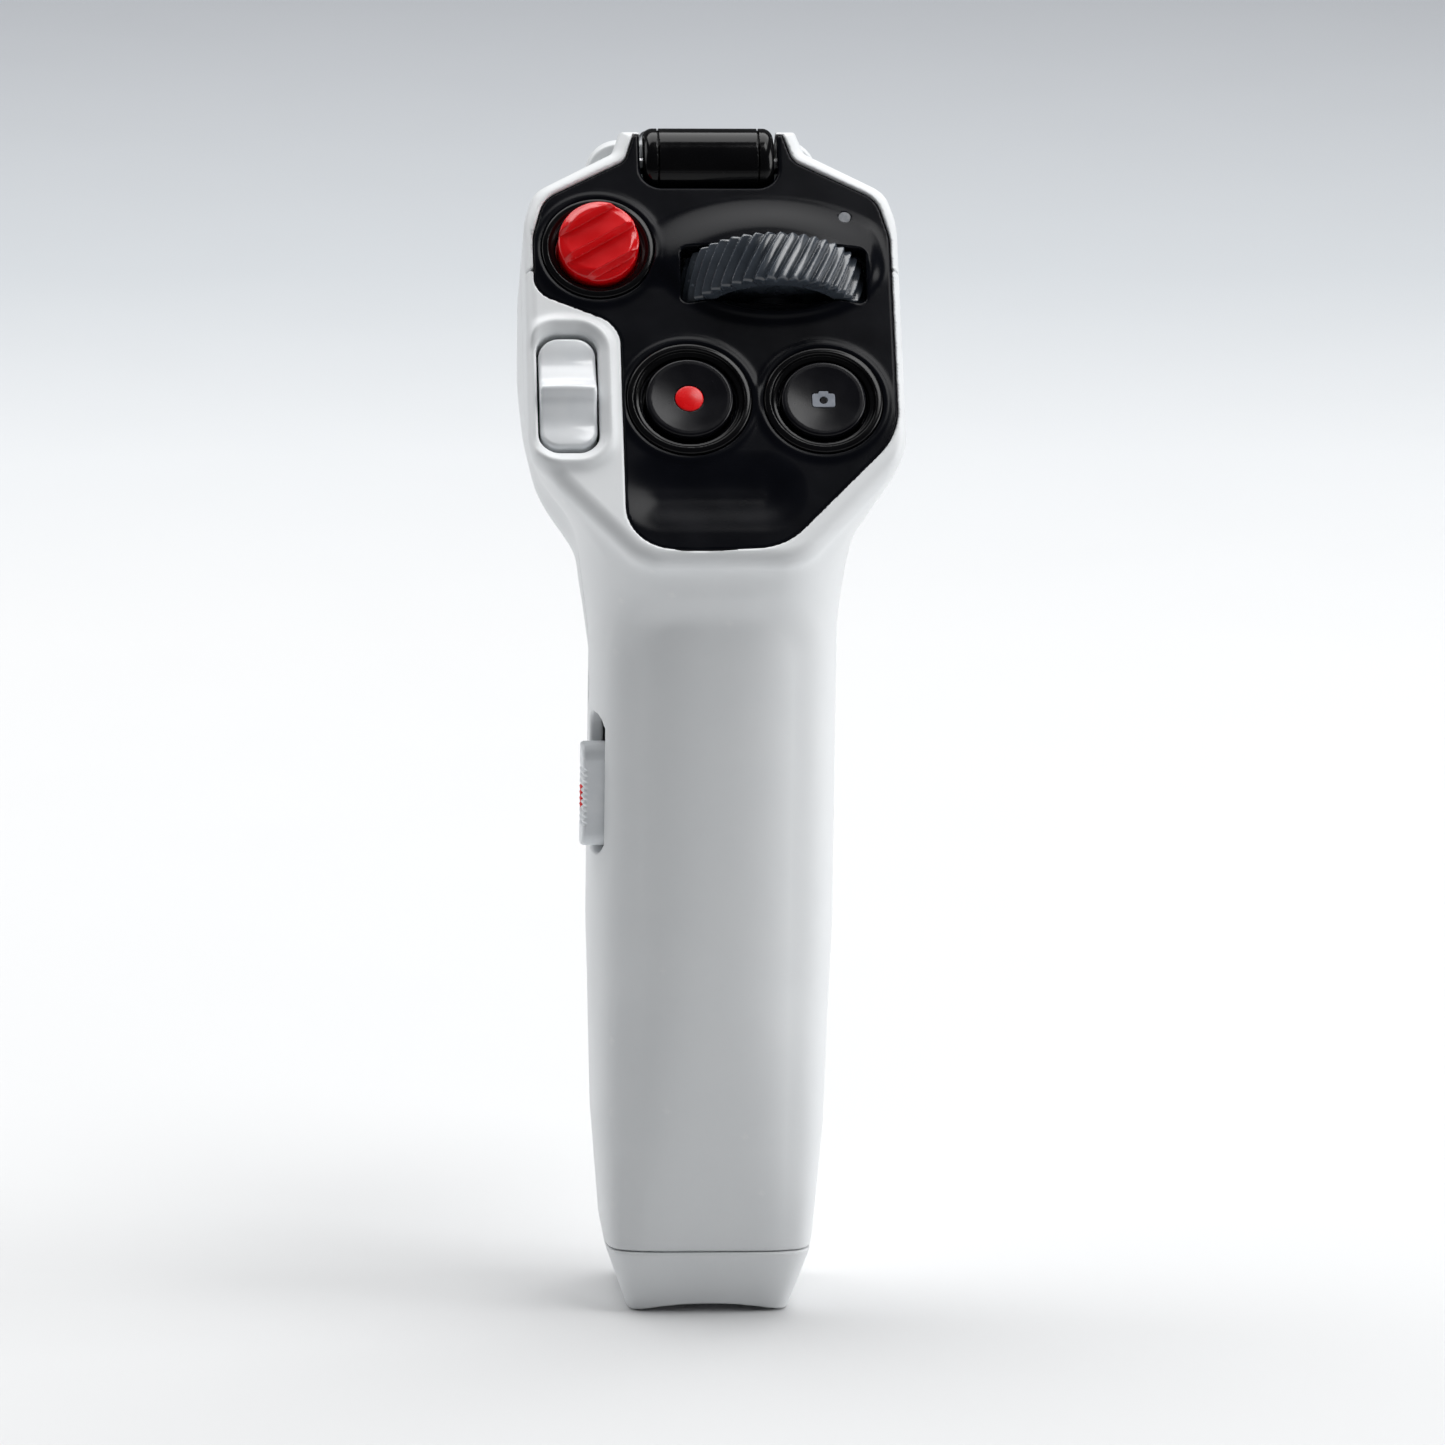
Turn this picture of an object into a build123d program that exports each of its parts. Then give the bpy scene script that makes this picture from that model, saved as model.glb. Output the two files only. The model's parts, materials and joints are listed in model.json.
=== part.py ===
from build123d import *
from math import atan2, cos, degrees, radians, sin, sqrt
import os

os.makedirs("parts", exist_ok=True)

# A one-hand wireless trigger grip, standing on its base.
# Origin: middle of the base's flat underside. +Z up, +Y the trigger side, -Y the thumb side.

# --- driving dimensions, millimetres and degrees ---------------------------------------------
wall = 2.0
fit_gap = 0.3            # between a moving piece and what it moves in
inner_gap = 0.3          # between an inner piece and the casing's wall
pin_play = 0.05          # radial play of a pin in a turning piece

cap_height = 9.8
base_half_width = 12.1
base_half_depth = 11.6
seam_half_width = 15.6
seam_half_depth = 14.4
grip_half_width = 18.4
grip_half_depth = 17.0
neck_half_depth = 17.6
taper_height = 28.0
full_height = 58.0
neck_height = 121.0
corner_radius = 12.0      # of the grip's section where a hand closes on it
base_corner = 4.0
seam_corner = 6.0
taper_corner = 9.5
thumb_notch_width = 20.0
thumb_notch_rise = 1.1
thumb_notch_depth = 6.0

face_tilt = 40.0         # how far the control face leans back: elevation of its normal
face_foot_y = -20.0
face_foot_z = 119.5
head_half_width = 28.8
head_top = 70.8          # along the control face from its foot
head_foot = -3.0
head_reach = 44.0        # how deep the head runs behind the control face
head_front_y = 37.0
head_front_foot = (37.0, 137.0)
head_front_chin = (35.0, 127.0)
cheek_front_y = 27.0
flank_line = [
    (head_half_width, 133.0), (head_half_width - 1.5, 125.5), (head_half_width - 6.0, 118.0),
    (grip_half_width + 1.1, 111.0), (grip_half_width, 102.0),
]
cover_seam = 46.4        # where the head cover meets the rear shell
parting_y = 2.0
parting_depth = 13.0

panel_sink = 0.3
panel_thickness = 2.0
panel_gap = 0.1
panel_half_width = 26.6
panel_left = -14.0
panel_top = 69.5
ledge_width = 1.5
ledge_thickness = 2.0

record_at = (-4.2, 24.3)
record_cap = 13.0
record_ring = 18.5
photo_at = (15.7, 24.1)
photo_cap = 12.5
photo_ring = 17.6
red_at = (-17.0, 49.8)
red_cap = 12.0
red_top = 4.6
red_drop = 3.4           # how much lower the red key's top is on its near side
groove_turn = 29.0
groove_pitch = 4.0
groove_width = 1.2
groove_depth = 0.7
round_key_top = 0.5
post_radius = 1.8
red_ring = 16.8
ring_raise = 0.5
ring_seat = 0.8
ring_width = 2.2
dot_diameter = 4.2
icon_width = 3.4
red_travel = 1.0
thumb_rest_at = (-1.3, 8.9)
thumb_rest_size = (22.0, 7.4)
thumb_rest_depth = 0.7
light_at = (20.0, 55.3)
light_diameter = 1.8

wheel_at = (9.0, 45.1)
wheel_radius = 14.5
wheel_width = 8.0
wheel_proud = 7.4
wheel_ribs = 48
axle_radius = 1.5
ear_thickness = 1.2
ear_width = 10.0

board_depth = 9.0        # of the control board's upper face below the head's rim
board_thickness = 1.6
switch_side = 6.0
switch_height = 3.4
plunger_radius = 1.0

rocker_at = (-22.1, 25.4)
rocker_width = 8.5
rocker_length = 18.4
rocker_pin_depth = 5.6
rocker_pin_radius = 0.75
rocker_end_gap = 0.85

hinge_v = 66.5
hinge_depth = 4.4
hinge_radius = 5.6
hinge_width = 18.9
notch_width = 20.4
hinge_pin_radius = 1.25
paddle_width = 35.0
paddle_top = 169.0
paddle_foot = 147.0
paddle_thickness = 4.6
paddle_gap = 0.5

trigger_half_width = 21.1
trigger_pivot = (33.0, 134.6)
trigger_pin_radius = 1.0
trigger_thickness = 2.6
trigger_foot = (28.8, 111.8)
trigger_belly = (31.8, 126.5)
magnet_height = 122.0
magnet_back = 27.4
bay_half_width = 21.5
cheek_slope = 0.5         # rise of the cheeks' underside beside the trigger
cheek_root = (10.0, 105.5)
bay_roof = 139.0
bay_top = (30.6, 136.5)
bay_foot = (18.6, 112.0)

slot_y = -6.5
slot_foot = 70.0
slider_width = 6.2
slider_length = 15.4
slider_rest = 71.1
slider_travel = 4.0
slider_proud = 1.5
window_height = 4.6
window_foot = 91.2

cell_radius = 9.2
cell_length = 65.0
cell_foot = 16.0
cell_y = -1.0
main_board_y = 10.2
main_board_width = 18.0
screw_radius = 0.9
screw_head_radius = 1.8
screw_across = 12.4
lower_screws = 26.0
upper_screws = 106.0
socket_y = 5.0           # the charging socket's middle, forward of the base's middle

# --- places worked out from them -------------------------------------------------------------
up_y = sin(radians(face_tilt))
up_z = cos(radians(face_tilt))
face = Plane(origin=(0, face_foot_y, face_foot_z), x_dir=(1, 0, 0), z_dir=(0, -up_z, up_y))


def on_face(u, v, w=0.0):
    """A point given across, up and out of the control face, in the part's own frame."""
    return face.from_local_coords(Vector(u, v, w))


def finish(piece, name):
    piece.label = name
    export_step(piece, f"parts/{name}.step")


# --- the outside of the casing, and the same shape drawn in by a wall -------------------------
def grip_loft(inset, foot, top):
    """The hand grip between two heights, a rounded section that swells from the base cap."""
    levels = [
        (cap_height, seam_half_width, seam_half_depth, seam_corner),
        (taper_height, grip_half_width - 1.1, grip_half_depth - 0.8, taper_corner),
        (full_height, grip_half_width, grip_half_depth, corner_radius),
        (neck_height, grip_half_width, neck_half_depth, corner_radius),
    ]
    with BuildPart() as grip:
        for height, half_x, half_y, corner in levels:
            with BuildSketch(Plane.XY.offset(height)):
                RectangleRounded(2 * (half_x - inset), 2 * (half_y - inset), corner - inset)
        loft()
        with Locations((0, 0, (foot + top) / 2)):
            Box(100, 100, top - foot, mode=Mode.INTERSECT)
    return grip.part


def head_outline(inset, level):
    """The head's outline seen square to the control face."""
    slope = 19.0
    corners = [
        (-12.0, head_foot),
        (12.0, head_foot),
        (head_half_width, head_foot + slope),
        (head_half_width, 55.0),
        (26.2, 60.4),
        (14.5, 67.0),
        (13.2, head_top),
        (-13.2, head_top),
        (-14.5, 67.0),
        (-26.2, 60.4),
        (-head_half_width, 55.0),
        (-head_half_width, head_foot + slope),
    ]
    radii = [8, 8, 9, 8, 6, 1.5, 0.6, 0.6, 1.5, 6, 8, 9]
    with BuildSketch(face.offset(level)) as outline:
        with BuildLine():
            FilletPolyline(*corners, radius=radii, close=True)
        make_face()
        if inset:
            offset(amount=-inset, kind=Kind.INTERSECTION)
    return outline.sketch


def cheek_height(y, inset):
    """Height of the cheeks' underside, drawn in by a wall's thickness."""
    return cheek_root[1] + cheek_slope * (y - cheek_root[0]) + inset * sqrt(1 + cheek_slope**2)


def bay_points(inset):
    """The trigger bay's back wall in side view, drawn in by a wall's thickness."""
    slope = Vector(bay_top[0] - bay_foot[0], bay_top[1] - bay_foot[1]).normalized()
    shift_y, shift_z = -inset * slope.Y, inset * slope.X
    return [
        (head_front_y - inset, bay_roof + inset),
        (bay_top[0] + shift_y, bay_roof + inset),
        (bay_top[0] + shift_y, bay_top[1] + shift_z),
        (bay_foot[0] + shift_y, bay_foot[1] + shift_z),
        (bay_foot[0] + shift_y, cheek_height(bay_foot[0] + shift_y, inset)),
        (cheek_root[0], cheek_height(cheek_root[0], inset)),
        (cheek_root[0], 96.0),
    ]


def head_block(inset, roof):
    """The head: its outline run back from the control face, trimmed in side and front view."""
    with BuildPart() as head:
        extrude(head_outline(inset, -roof), amount=-(head_reach - roof - inset))
        with BuildSketch(Plane.YZ):
            with BuildLine():
                if inset:
                    front = bay_points(inset)
                else:
                    front = [head_front_foot, head_front_chin,
                             (cheek_front_y, cheek_height(cheek_front_y, 0)), cheek_root,
                             (cheek_root[0], 96.0)]
                Polyline((-40, 96), (-40, 195), (head_front_y - inset, 195), *front, close=True)
            make_face()
        extrude(amount=40, both=True, mode=Mode.INTERSECT)
        right = [(x - inset, z) for x, z in flank_line]
        left = [(-x, z) for x, z in reversed(right)]
        with BuildSketch(Plane.XZ):
            with BuildLine():
                Spline(*right)
                Line(right[-1], left[0])
                Spline(*left)
                shoulder = flank_line[0][1]
                Polyline(left[-1], (-40, shoulder), (-40, 195), (40, 195), (40, shoulder), right[0])
            make_face()
        extrude(amount=60, both=True, mode=Mode.INTERSECT)
    return head.part


def side_cut(points, half_width):
    """A block with the given outline in side view, as wide as asked."""
    with BuildPart() as block:
        with BuildSketch(Plane.YZ):
            with BuildLine():
                Polyline(*points, close=True)
            make_face()
        extrude(amount=half_width, both=True)
    return block.part


bay_cut = side_cut(
    [(45, bay_roof), *bay_points(0)[1:4], (bay_foot[0], 90.0), (45, 90.0)],
    bay_half_width,
)
outer = grip_loft(0, cap_height, neck_height) + (head_block(0, 0) - bay_cut)
head_roof = panel_sink + panel_thickness + ledge_thickness
inner = grip_loft(wall, cap_height, 115.0) + head_block(wall, head_roof)
inner_safe = grip_loft(wall + inner_gap, cap_height, 115.0) + head_block(wall + inner_gap, head_roof)
shell = outer - inner

# The parting: an upright plane through the grip that turns to run behind the control face.
turn_z = face_foot_z + (up_z * (parting_y - face_foot_y) - parting_depth) / up_y
run = 90.0
front_zone = side_cut(
    [(parting_y, -5), (80, -5), (80, turn_z + run), (parting_y + run * up_y, turn_z + run * up_z),
     (parting_y, turn_z)],
    50,
)
with BuildPart() as cover_zone_block:
    with BuildSketch(face.offset(-60)):
        with Locations((0, cover_seam + 30)):
            Rectangle(100, 60)
    extrude(amount=80)
cover_zone = cover_zone_block.part


# --- outline of the black control panel --------------------------------------------------------
def panel_outline(grow, level):
    corners = [
        (-11.2, panel_top), (-12.6, 65.0), (-24.9, 58.4), (-panel_half_width, 52.0),
        (-panel_half_width, 42.4), (panel_left, 37.0), (panel_left, 0.0), (8.7, 0.0),
        (panel_half_width, 18.4), (panel_half_width, 52.0), (24.9, 58.4), (12.6, 65.0),
        (11.2, panel_top),
    ]
    radii = [0, 2.5, 5, 6, 4, 5, 7, 10, 11, 6, 5, 2.5, 0]
    with BuildSketch(face.offset(level)) as outline:
        with BuildLine():
            FilletPolyline(*corners, radius=radii, close=True)
        make_face()
        if grow:
            offset(amount=grow, kind=Kind.INTERSECTION)
    return outline.sketch


def disc(at, radius, top, bottom):
    """A round block square to the control face between two heights over it."""
    with BuildPart() as block:
        with BuildSketch(face.offset(bottom)):
            with Locations(at):
                Circle(radius)
        extrude(amount=top - bottom)
    return block.part


def pad(at, width, length, top, bottom, corner=0.0):
    """A rectangular block square to the control face between two heights over it."""
    with BuildPart() as block:
        with BuildSketch(face.offset(bottom)):
            with Locations(at):
                if corner:
                    RectangleRounded(width, length, corner)
                else:
                    Rectangle(width, length)
        extrude(amount=top - bottom)
    return block.part


def cross_pin(y, z, radius, x_from, x_to):
    """A round bar lying across the part."""
    with BuildPart() as bar:
        with BuildSketch(Plane.YZ.offset(x_from)):
            with Locations((y, z)):
                Circle(radius)
        extrude(amount=x_to - x_from)
    return bar.part


# --- cuts shared by the shells -----------------------------------------------------------------
hinge_pin_at = on_face(0, hinge_v, -hinge_depth)
pin_y, pin_z = hinge_pin_at.Y, hinge_pin_at.Z
notch_radius = hinge_radius + 0.6
notch_floor = pin_z - notch_radius
notch_cut = (
    cross_pin(pin_y, pin_z, notch_radius, -notch_width / 2, notch_width / 2)
    + side_cut([(pin_y, notch_floor), (60, notch_floor), (60, 200), (pin_y, 200)], notch_width / 2)
    + pad((0, hinge_v + 10), notch_width, 20, 10, -hinge_depth)
)
trough = (
    cross_pin(pin_y, pin_z, notch_radius + wall, -notch_width / 2 - wall, notch_width / 2 + wall)
    + side_cut(
        [(pin_y, notch_floor - wall), (60, notch_floor - wall), (60, 200), (pin_y, 200)],
        notch_width / 2 + wall,
    )
    + pad((0, 66.5), 29.0, 12.0, 0, -9.0)
) & outer
hinge_bore = cross_pin(pin_y, pin_z, hinge_pin_radius + 0.02, -13.1, 13.1)
panel_pocket = extrude(panel_outline(panel_gap, -panel_sink - panel_thickness), amount=10)
panel_opening = extrude(panel_outline(-ledge_width, -20), amount=30)
rocker_opening = pad(
    rocker_at, rocker_width + 2 * fit_gap, rocker_length + 2 * rocker_end_gap, 5, -12, 3.2
)
slot_height = slider_travel + slider_length + 2 * (slider_rest - slot_foot) - 0.6
with BuildPart() as slot_block:
    with Locations((-grip_half_width - 3.6, slot_y, slot_foot + slot_height / 2)):
        Box(16, slider_width + 2 * fit_gap, slot_height)
    fillet(slot_block.edges().filter_by(Axis.X), 2.6)
slider_slot = slot_block.part
with BuildPart() as window_block:
    with Locations((-grip_half_width - 3.6, 0.2, window_foot + window_height / 2)):
        Box(16, 2.2, window_height)
    fillet(window_block.edges().filter_by(Axis.X), 0.9)
window_cut = window_block.part

case_screw_places = [(x, z) for z in (lower_screws, upper_screws) for x in (-screw_across, screw_across)]
board_post_places = [(-6.0, 30.0), (6.0, 30.0), (-6.0, 98.0), (6.0, 98.0)]


def upright_bar(x, z, radius, y_from, y_to):
    """A round bar lying front to back in the grip."""
    with BuildPart() as bar:
        with BuildSketch(Plane.XZ.offset(-y_from)):
            with Locations((x, z)):
                Circle(radius)
        extrude(amount=-(y_to - y_from))
    return bar.part


rear_bosses = [upright_bar(x, z, 2.6, -30, parting_y) & outer for x, z in case_screw_places]
front_bosses = [upright_bar(x, z, 2.6, parting_y, 30) & outer for x, z in case_screw_places]
front_posts = [
    upright_bar(x, z, 1.8, main_board_y + board_thickness, 30) & outer for x, z in board_post_places
]
screw_holes = [upright_bar(x, z, screw_radius + 0.02, -8, 30) for x, z in case_screw_places]
screw_sinks = [upright_bar(x, z, screw_head_radius + 0.2, 11, 30) for x, z in case_screw_places]

# --- casing -----------------------------------------------------------------------------------
with BuildPart() as rear_shell:
    add((shell - front_zone) - cover_zone)
    add(rear_bosses)
    add([panel_opening, panel_pocket, rocker_opening, slider_slot, window_cut, *screw_holes],
        mode=Mode.SUBTRACT)
finish(rear_shell.part, "rear_shell")

with BuildPart() as front_shell:
    add(shell & front_zone)
    add(trough & front_zone)
    add(front_bosses)
    add(front_posts)
    add([notch_cut, *screw_holes, *screw_sinks], mode=Mode.SUBTRACT)
    add(cross_pin(*trigger_pivot, trigger_pin_radius + 0.02, -25.0, 25.0), mode=Mode.SUBTRACT)
finish(front_shell.part, "front_shell")

with BuildPart() as head_cover:
    add((shell - front_zone) & cover_zone)
    add(trough - front_zone)
    add([panel_opening - trough, panel_pocket, notch_cut, hinge_bore], mode=Mode.SUBTRACT)
finish(head_cover.part, "head_cover")

with BuildPart() as base_cap:
    with BuildSketch(Plane.XY):
        RectangleRounded(2 * base_half_width, 2 * base_half_depth, base_corner)
    with BuildSketch(Plane.XY.offset(cap_height)):
        RectangleRounded(2 * seam_half_width, 2 * seam_half_depth, seam_corner)
    loft()
    with BuildSketch(Plane.XY.offset(wall)):
        RectangleRounded(
            2 * (base_half_width + 0.7 - wall), 2 * (base_half_depth + 0.6 - wall), base_corner - wall
        )
    with BuildSketch(Plane.XY.offset(cap_height)):
        RectangleRounded(2 * (seam_half_width - wall), 2 * (seam_half_depth - wall), seam_corner - wall)
    loft(mode=Mode.SUBTRACT)
    # the spigot that snaps inside the grip's foot
    with BuildSketch(Plane.XY.offset(cap_height - wall)):
        RectangleRounded(
            2 * (seam_half_width - wall - 0.1), 2 * (seam_half_depth - wall - 0.1), seam_corner - wall - 0.1
        )
        RectangleRounded(
            2 * (seam_half_width - wall - 1.5), 2 * (seam_half_depth - wall - 1.5),
            seam_corner - wall - 1.5, mode=Mode.SUBTRACT,
        )
    extrude(amount=wall + 3.4)
    # posts under the charging board
    with BuildSketch(Plane.XY.offset(wall)):
        with GridLocations(15.0, 11.0, 2, 2):
            Circle(1.5)
    extrude(amount=5.4 - wall)
    # the notch at the back edge that a thumbnail levers, a shallow arch
    arch_radius = (thumb_notch_width**2 / 4 + thumb_notch_rise**2) / (2 * thumb_notch_rise)
    with BuildSketch(Plane.XZ.offset(base_half_depth - thumb_notch_depth)):
        with Locations((0, thumb_notch_rise - arch_radius)):
            Circle(arch_radius)
    extrude(amount=20, mode=Mode.SUBTRACT)
    # the mouth of the charging socket
    with BuildSketch(Plane.XY):
        with Locations((0, socket_y)):
            RectangleRounded(9.7, 3.9, 1.8)
    extrude(amount=wall + 1, mode=Mode.SUBTRACT)
finish(base_cap.part, "base_cap")

with BuildPart() as case_screws:
    for x, z in case_screw_places:
        add(upright_bar(x, z, screw_radius, -6.0, 11.4))
        add(upright_bar(x, z, screw_head_radius, 11.0, 12.6))
finish(case_screws.part, "case_screws")

# --- control panel and what sits in it -----------------------------------------------------------
panel_face = -panel_sink
panel_back = -panel_sink - panel_thickness
post_places = [(-10.4, 35.6), (5.8, 35.2), (22.4, 36.4), (5.8, 13.4), (-10.6, 13.4)]
flange_grow = 1.3
flange_thickness = 0.9
flange_drop = 0.3
wheel_w = panel_face + wheel_proud - wheel_radius
wheel_slot_reach = sqrt(wheel_radius**2 - (panel_back - wheel_w) ** 2) + fit_gap
round_buttons = [(record_at, record_cap, record_ring), (photo_at, photo_cap, photo_ring),
                 (red_at, red_cap, red_ring)]

with BuildPart() as control_panel:
    extrude(panel_outline(0, panel_back), amount=panel_thickness)
    for at, cap, ring in round_buttons:
        add(disc(at, cap / 2 + fit_gap, 5, -10), mode=Mode.SUBTRACT)
        add(disc(at, ring / 2 + 0.05, 5, panel_face - ring_seat), mode=Mode.SUBTRACT)
    add(disc(light_at, light_diameter / 2 + 0.03, 5, -10), mode=Mode.SUBTRACT)
    add(pad(wheel_at, 2 * wheel_slot_reach, wheel_width + 2 * fit_gap, 5, -10, 1.2), mode=Mode.SUBTRACT)
    add(pad((0, hinge_v - hinge_radius - 0.4 + 10), notch_width + 0.2, 20, 5, -10), mode=Mode.SUBTRACT)
    # the hollow that the thumb rests in
    add(pad(thumb_rest_at, *thumb_rest_size, 5, panel_face - thumb_rest_depth, 3.0), mode=Mode.SUBTRACT)
    for at in post_places:
        add(disc(at, post_radius, panel_back, -board_depth))
        add(disc(at, screw_radius + 0.02, panel_back - 1.5, -board_depth - 1), mode=Mode.SUBTRACT)
finish(control_panel.part, "control_panel")


def button_ring(at, ring, name):
    """A trim ring let into the panel round a button."""
    with BuildPart() as trim_ring:
        with BuildSketch(face.offset(panel_face - ring_seat)):
            with Locations(at):
                Circle(ring / 2)
                Circle(ring / 2 - ring_width + 0.2, mode=Mode.SUBTRACT)
        extrude(amount=ring_seat + ring_raise)
    finish(trim_ring.part, name)


def button_cap(at, cap, top, pocket=0.0):
    """A round button cap with the flange that keeps it under the panel."""
    with BuildPart() as button:
        add(disc(at, cap / 2, top, panel_back - flange_drop))
        rim = button.edges().filter_by(GeomType.CIRCLE).sort_by(Axis.Z)[-1:]
        fillet(rim, 0.5)
        flange_foot = panel_back - flange_drop - flange_thickness
        add(disc(at, cap / 2 + flange_grow, panel_back - flange_drop, flange_foot))
        if pocket:
            add(disc(at, pocket / 2 + 0.02, top + 1, top - 0.5), mode=Mode.SUBTRACT)
    return button.part


button_tops = {"record": round_key_top, "photo": round_key_top, "red": red_top}
flange_foot = panel_back - flange_drop - flange_thickness
plunger_foot = -board_depth + 1.6

button_ring(record_at, record_ring, "record_ring")
button_ring(photo_at, photo_ring, "photo_ring")
button_ring(red_at, red_ring, "red_ring")

finish(button_cap(record_at, record_cap, button_tops["record"], dot_diameter),
       "record_button")
finish(disc(record_at, dot_diameter / 2, button_tops["record"] + 0.2, button_tops["record"] - 0.5),
       "record_dot")

icon_sink = 0.4
icon_top = button_tops["photo"] + 0.05
icon_foot = button_tops["photo"] - icon_sink
icon_plate = pad(photo_at, icon_width, 2.5, icon_top, icon_foot, 0.5)
with BuildPart() as photo_button:
    add(button_cap(photo_at, photo_cap, button_tops["photo"]))
    add(pad(photo_at, icon_width + 0.04, 2.54, 5, icon_foot, 0.5), mode=Mode.SUBTRACT)
finish(photo_button.part, "photo_button")
finish(icon_plate, "photo_icon")

with BuildPart() as red_button:
    add(button_cap(red_at, red_cap, button_tops["red"]))
    # grip ridges: slanted grooves across the cap
    tilt = degrees(atan2(red_drop, red_cap))
    middle = on_face(*red_at, red_top - red_drop / 2)
    top_plane = Plane(origin=middle, x_dir=(1, 0, 0), z_dir=face.z_dir.rotate(Axis.X, tilt))
    with BuildSketch(top_plane):
        Rectangle(40, 40)
    extrude(amount=10, mode=Mode.SUBTRACT)
    with BuildSketch(top_plane.offset(-groove_depth)):
        with Locations(Location((0, 0, 0), (0, 0, groove_turn))):
            with GridLocations(1, groove_pitch, 1, 3):
                Rectangle(30, groove_width)
    extrude(amount=5, mode=Mode.SUBTRACT)
finish(red_button.part, "red_button")

for kind, (at, _cap, _ring) in zip(["record", "photo", "red"], round_buttons):
    finish(disc(at, plunger_radius, flange_foot, plunger_foot), f"{kind}_plunger")
    with BuildPart() as switch:
        add(pad(at, switch_side, switch_side, -board_depth + switch_height, -board_depth, 0.4))
        # the plunger's well
        add(disc(at, plunger_radius + 0.1, 0, plunger_foot - red_travel - fit_gap), mode=Mode.SUBTRACT)
    finish(switch.part, f"{kind}_switch")

with BuildPart() as status_light:
    add(disc(light_at, light_diameter / 2, panel_face + 0.05, panel_back))
    add(disc(light_at, light_diameter / 2 + 0.8, panel_back, panel_back - 0.8))
finish(status_light.part, "status_light")
finish(pad(light_at, 2.0, 3.2, panel_back - 0.8, panel_back - 2.0), "status_lamp")

# --- control board ------------------------------------------------------------------------------
board_back = -board_depth - board_thickness
with BuildPart() as control_board:
    with BuildSketch(face.offset(board_back)):
        with Locations((-1.1, 25.0)):
            Rectangle(51.0, 28.0)
        with Locations((-17.3, 47.0)):
            Rectangle(17.0, 24.0)
    extrude(amount=board_thickness)
    extrude(head_outline(wall + 0.6, -20), amount=20, mode=Mode.INTERSECT)
    for at in post_places:
        add(disc(at, screw_radius + 0.1, 0, -20), mode=Mode.SUBTRACT)
finish(control_board.part, "control_board")

with BuildPart() as board_screws:
    for at in post_places:
        add(disc(at, screw_radius, board_back, -board_depth + 4.0))
        add(disc(at, 1.6, board_back, board_back - 1.1))
finish(board_screws.part, "board_screws")

# --- thumb wheel ----------------------------------------------------------------------------------
wheel_centre = on_face(*wheel_at, wheel_w)
wheel_plane = Plane(origin=wheel_centre, x_dir=(1, 0, 0), z_dir=(0, up_y, up_z))
bracket_foot = wheel_w - wheel_radius - 0.6
bracket_floor = 1.0
ear_top = panel_back - 1.1
ear_reach = wheel_width / 2 + 0.6

with BuildPart() as thumb_wheel:
    with BuildSketch(wheel_plane.offset(-wheel_width / 2)):
        Circle(wheel_radius - 0.5)
        with PolarLocations(wheel_radius - 0.5, wheel_ribs):
            Rectangle(1.0, 0.9)
        Circle(axle_radius + pin_play, mode=Mode.SUBTRACT)
    extrude(amount=wheel_width)
    # lightening hollows in both faces, round the hub
    for side in (-1, 1):
        with BuildSketch(wheel_plane.offset(side * wheel_width / 2)):
            Circle(wheel_radius - 3.0)
            Circle(4.0, mode=Mode.SUBTRACT)
        extrude(amount=-side * 2.2, mode=Mode.SUBTRACT)
finish(thumb_wheel.part, "thumb_wheel")

with BuildPart() as wheel_axle:
    with BuildSketch(wheel_plane.offset(-ear_reach - ear_thickness)):
        Circle(axle_radius)
    extrude(amount=2 * (ear_reach + ear_thickness) + 1.6)
finish(wheel_axle.part, "wheel_axle")

with BuildPart() as wheel_bracket:
    for side in (-1, 1):
        middle = wheel_at[1] + side * (ear_reach + ear_thickness / 2)
        add(pad((wheel_at[0], middle), ear_width, ear_thickness, ear_top, bracket_foot - bracket_floor))
    add(pad(wheel_at, ear_width, 2 * (ear_reach + ear_thickness), bracket_foot, bracket_foot - bracket_floor))
    # the foot screwed under the control board
    foot_far = wheel_at[1] - ear_reach - ear_thickness
    add(pad((wheel_at[0], foot_far - 4.0), ear_width, 8.4, board_back, board_back - 1.2))
    for at in post_places:
        add(disc(at, screw_head_radius + 0.2, 0, -30), mode=Mode.SUBTRACT)
    with BuildSketch(wheel_plane.offset(-20)):
        Circle(axle_radius + 0.02)
    extrude(amount=40, mode=Mode.SUBTRACT)
finish(wheel_bracket.part, "wheel_bracket")

# the encoder's case stays clear of the panel's back
encoder_size = 2 * min(4.5, panel_back - 0.6 - wheel_w)
with BuildPart() as wheel_encoder:
    with BuildSketch(wheel_plane.offset(ear_reach + ear_thickness)):
        RectangleRounded(encoder_size, encoder_size, 1.0)
        Circle(axle_radius + 0.02, mode=Mode.SUBTRACT)
    extrude(amount=2.0)
finish(wheel_encoder.part, "wheel_encoder")

# --- rocker ---------------------------------------------------------------------------------------
rocker_pin_at = on_face(rocker_at[0], rocker_at[1], -rocker_pin_depth)
ear_inner = 2.6
with BuildPart() as zoom_rocker:
    add(pad(rocker_at, rocker_width, rocker_length, 0.8, -3.2, 3.0))
    add(pad(rocker_at, rocker_width - 2.0, 4.4, 1.7, 0.0, 1.2))
    add(pad(rocker_at, 2 * (ear_inner - 0.3), 3.6, -3.2, -rocker_pin_depth))
    add(cross_pin(rocker_pin_at.Y, rocker_pin_at.Z, 1.8, rocker_at[0] - ear_inner + 0.3,
                  rocker_at[0] + ear_inner - 0.3))
    add(cross_pin(rocker_pin_at.Y, rocker_pin_at.Z, rocker_pin_radius + pin_play, -40, 40),
        mode=Mode.SUBTRACT)
finish(zoom_rocker.part, "zoom_rocker")

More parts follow.
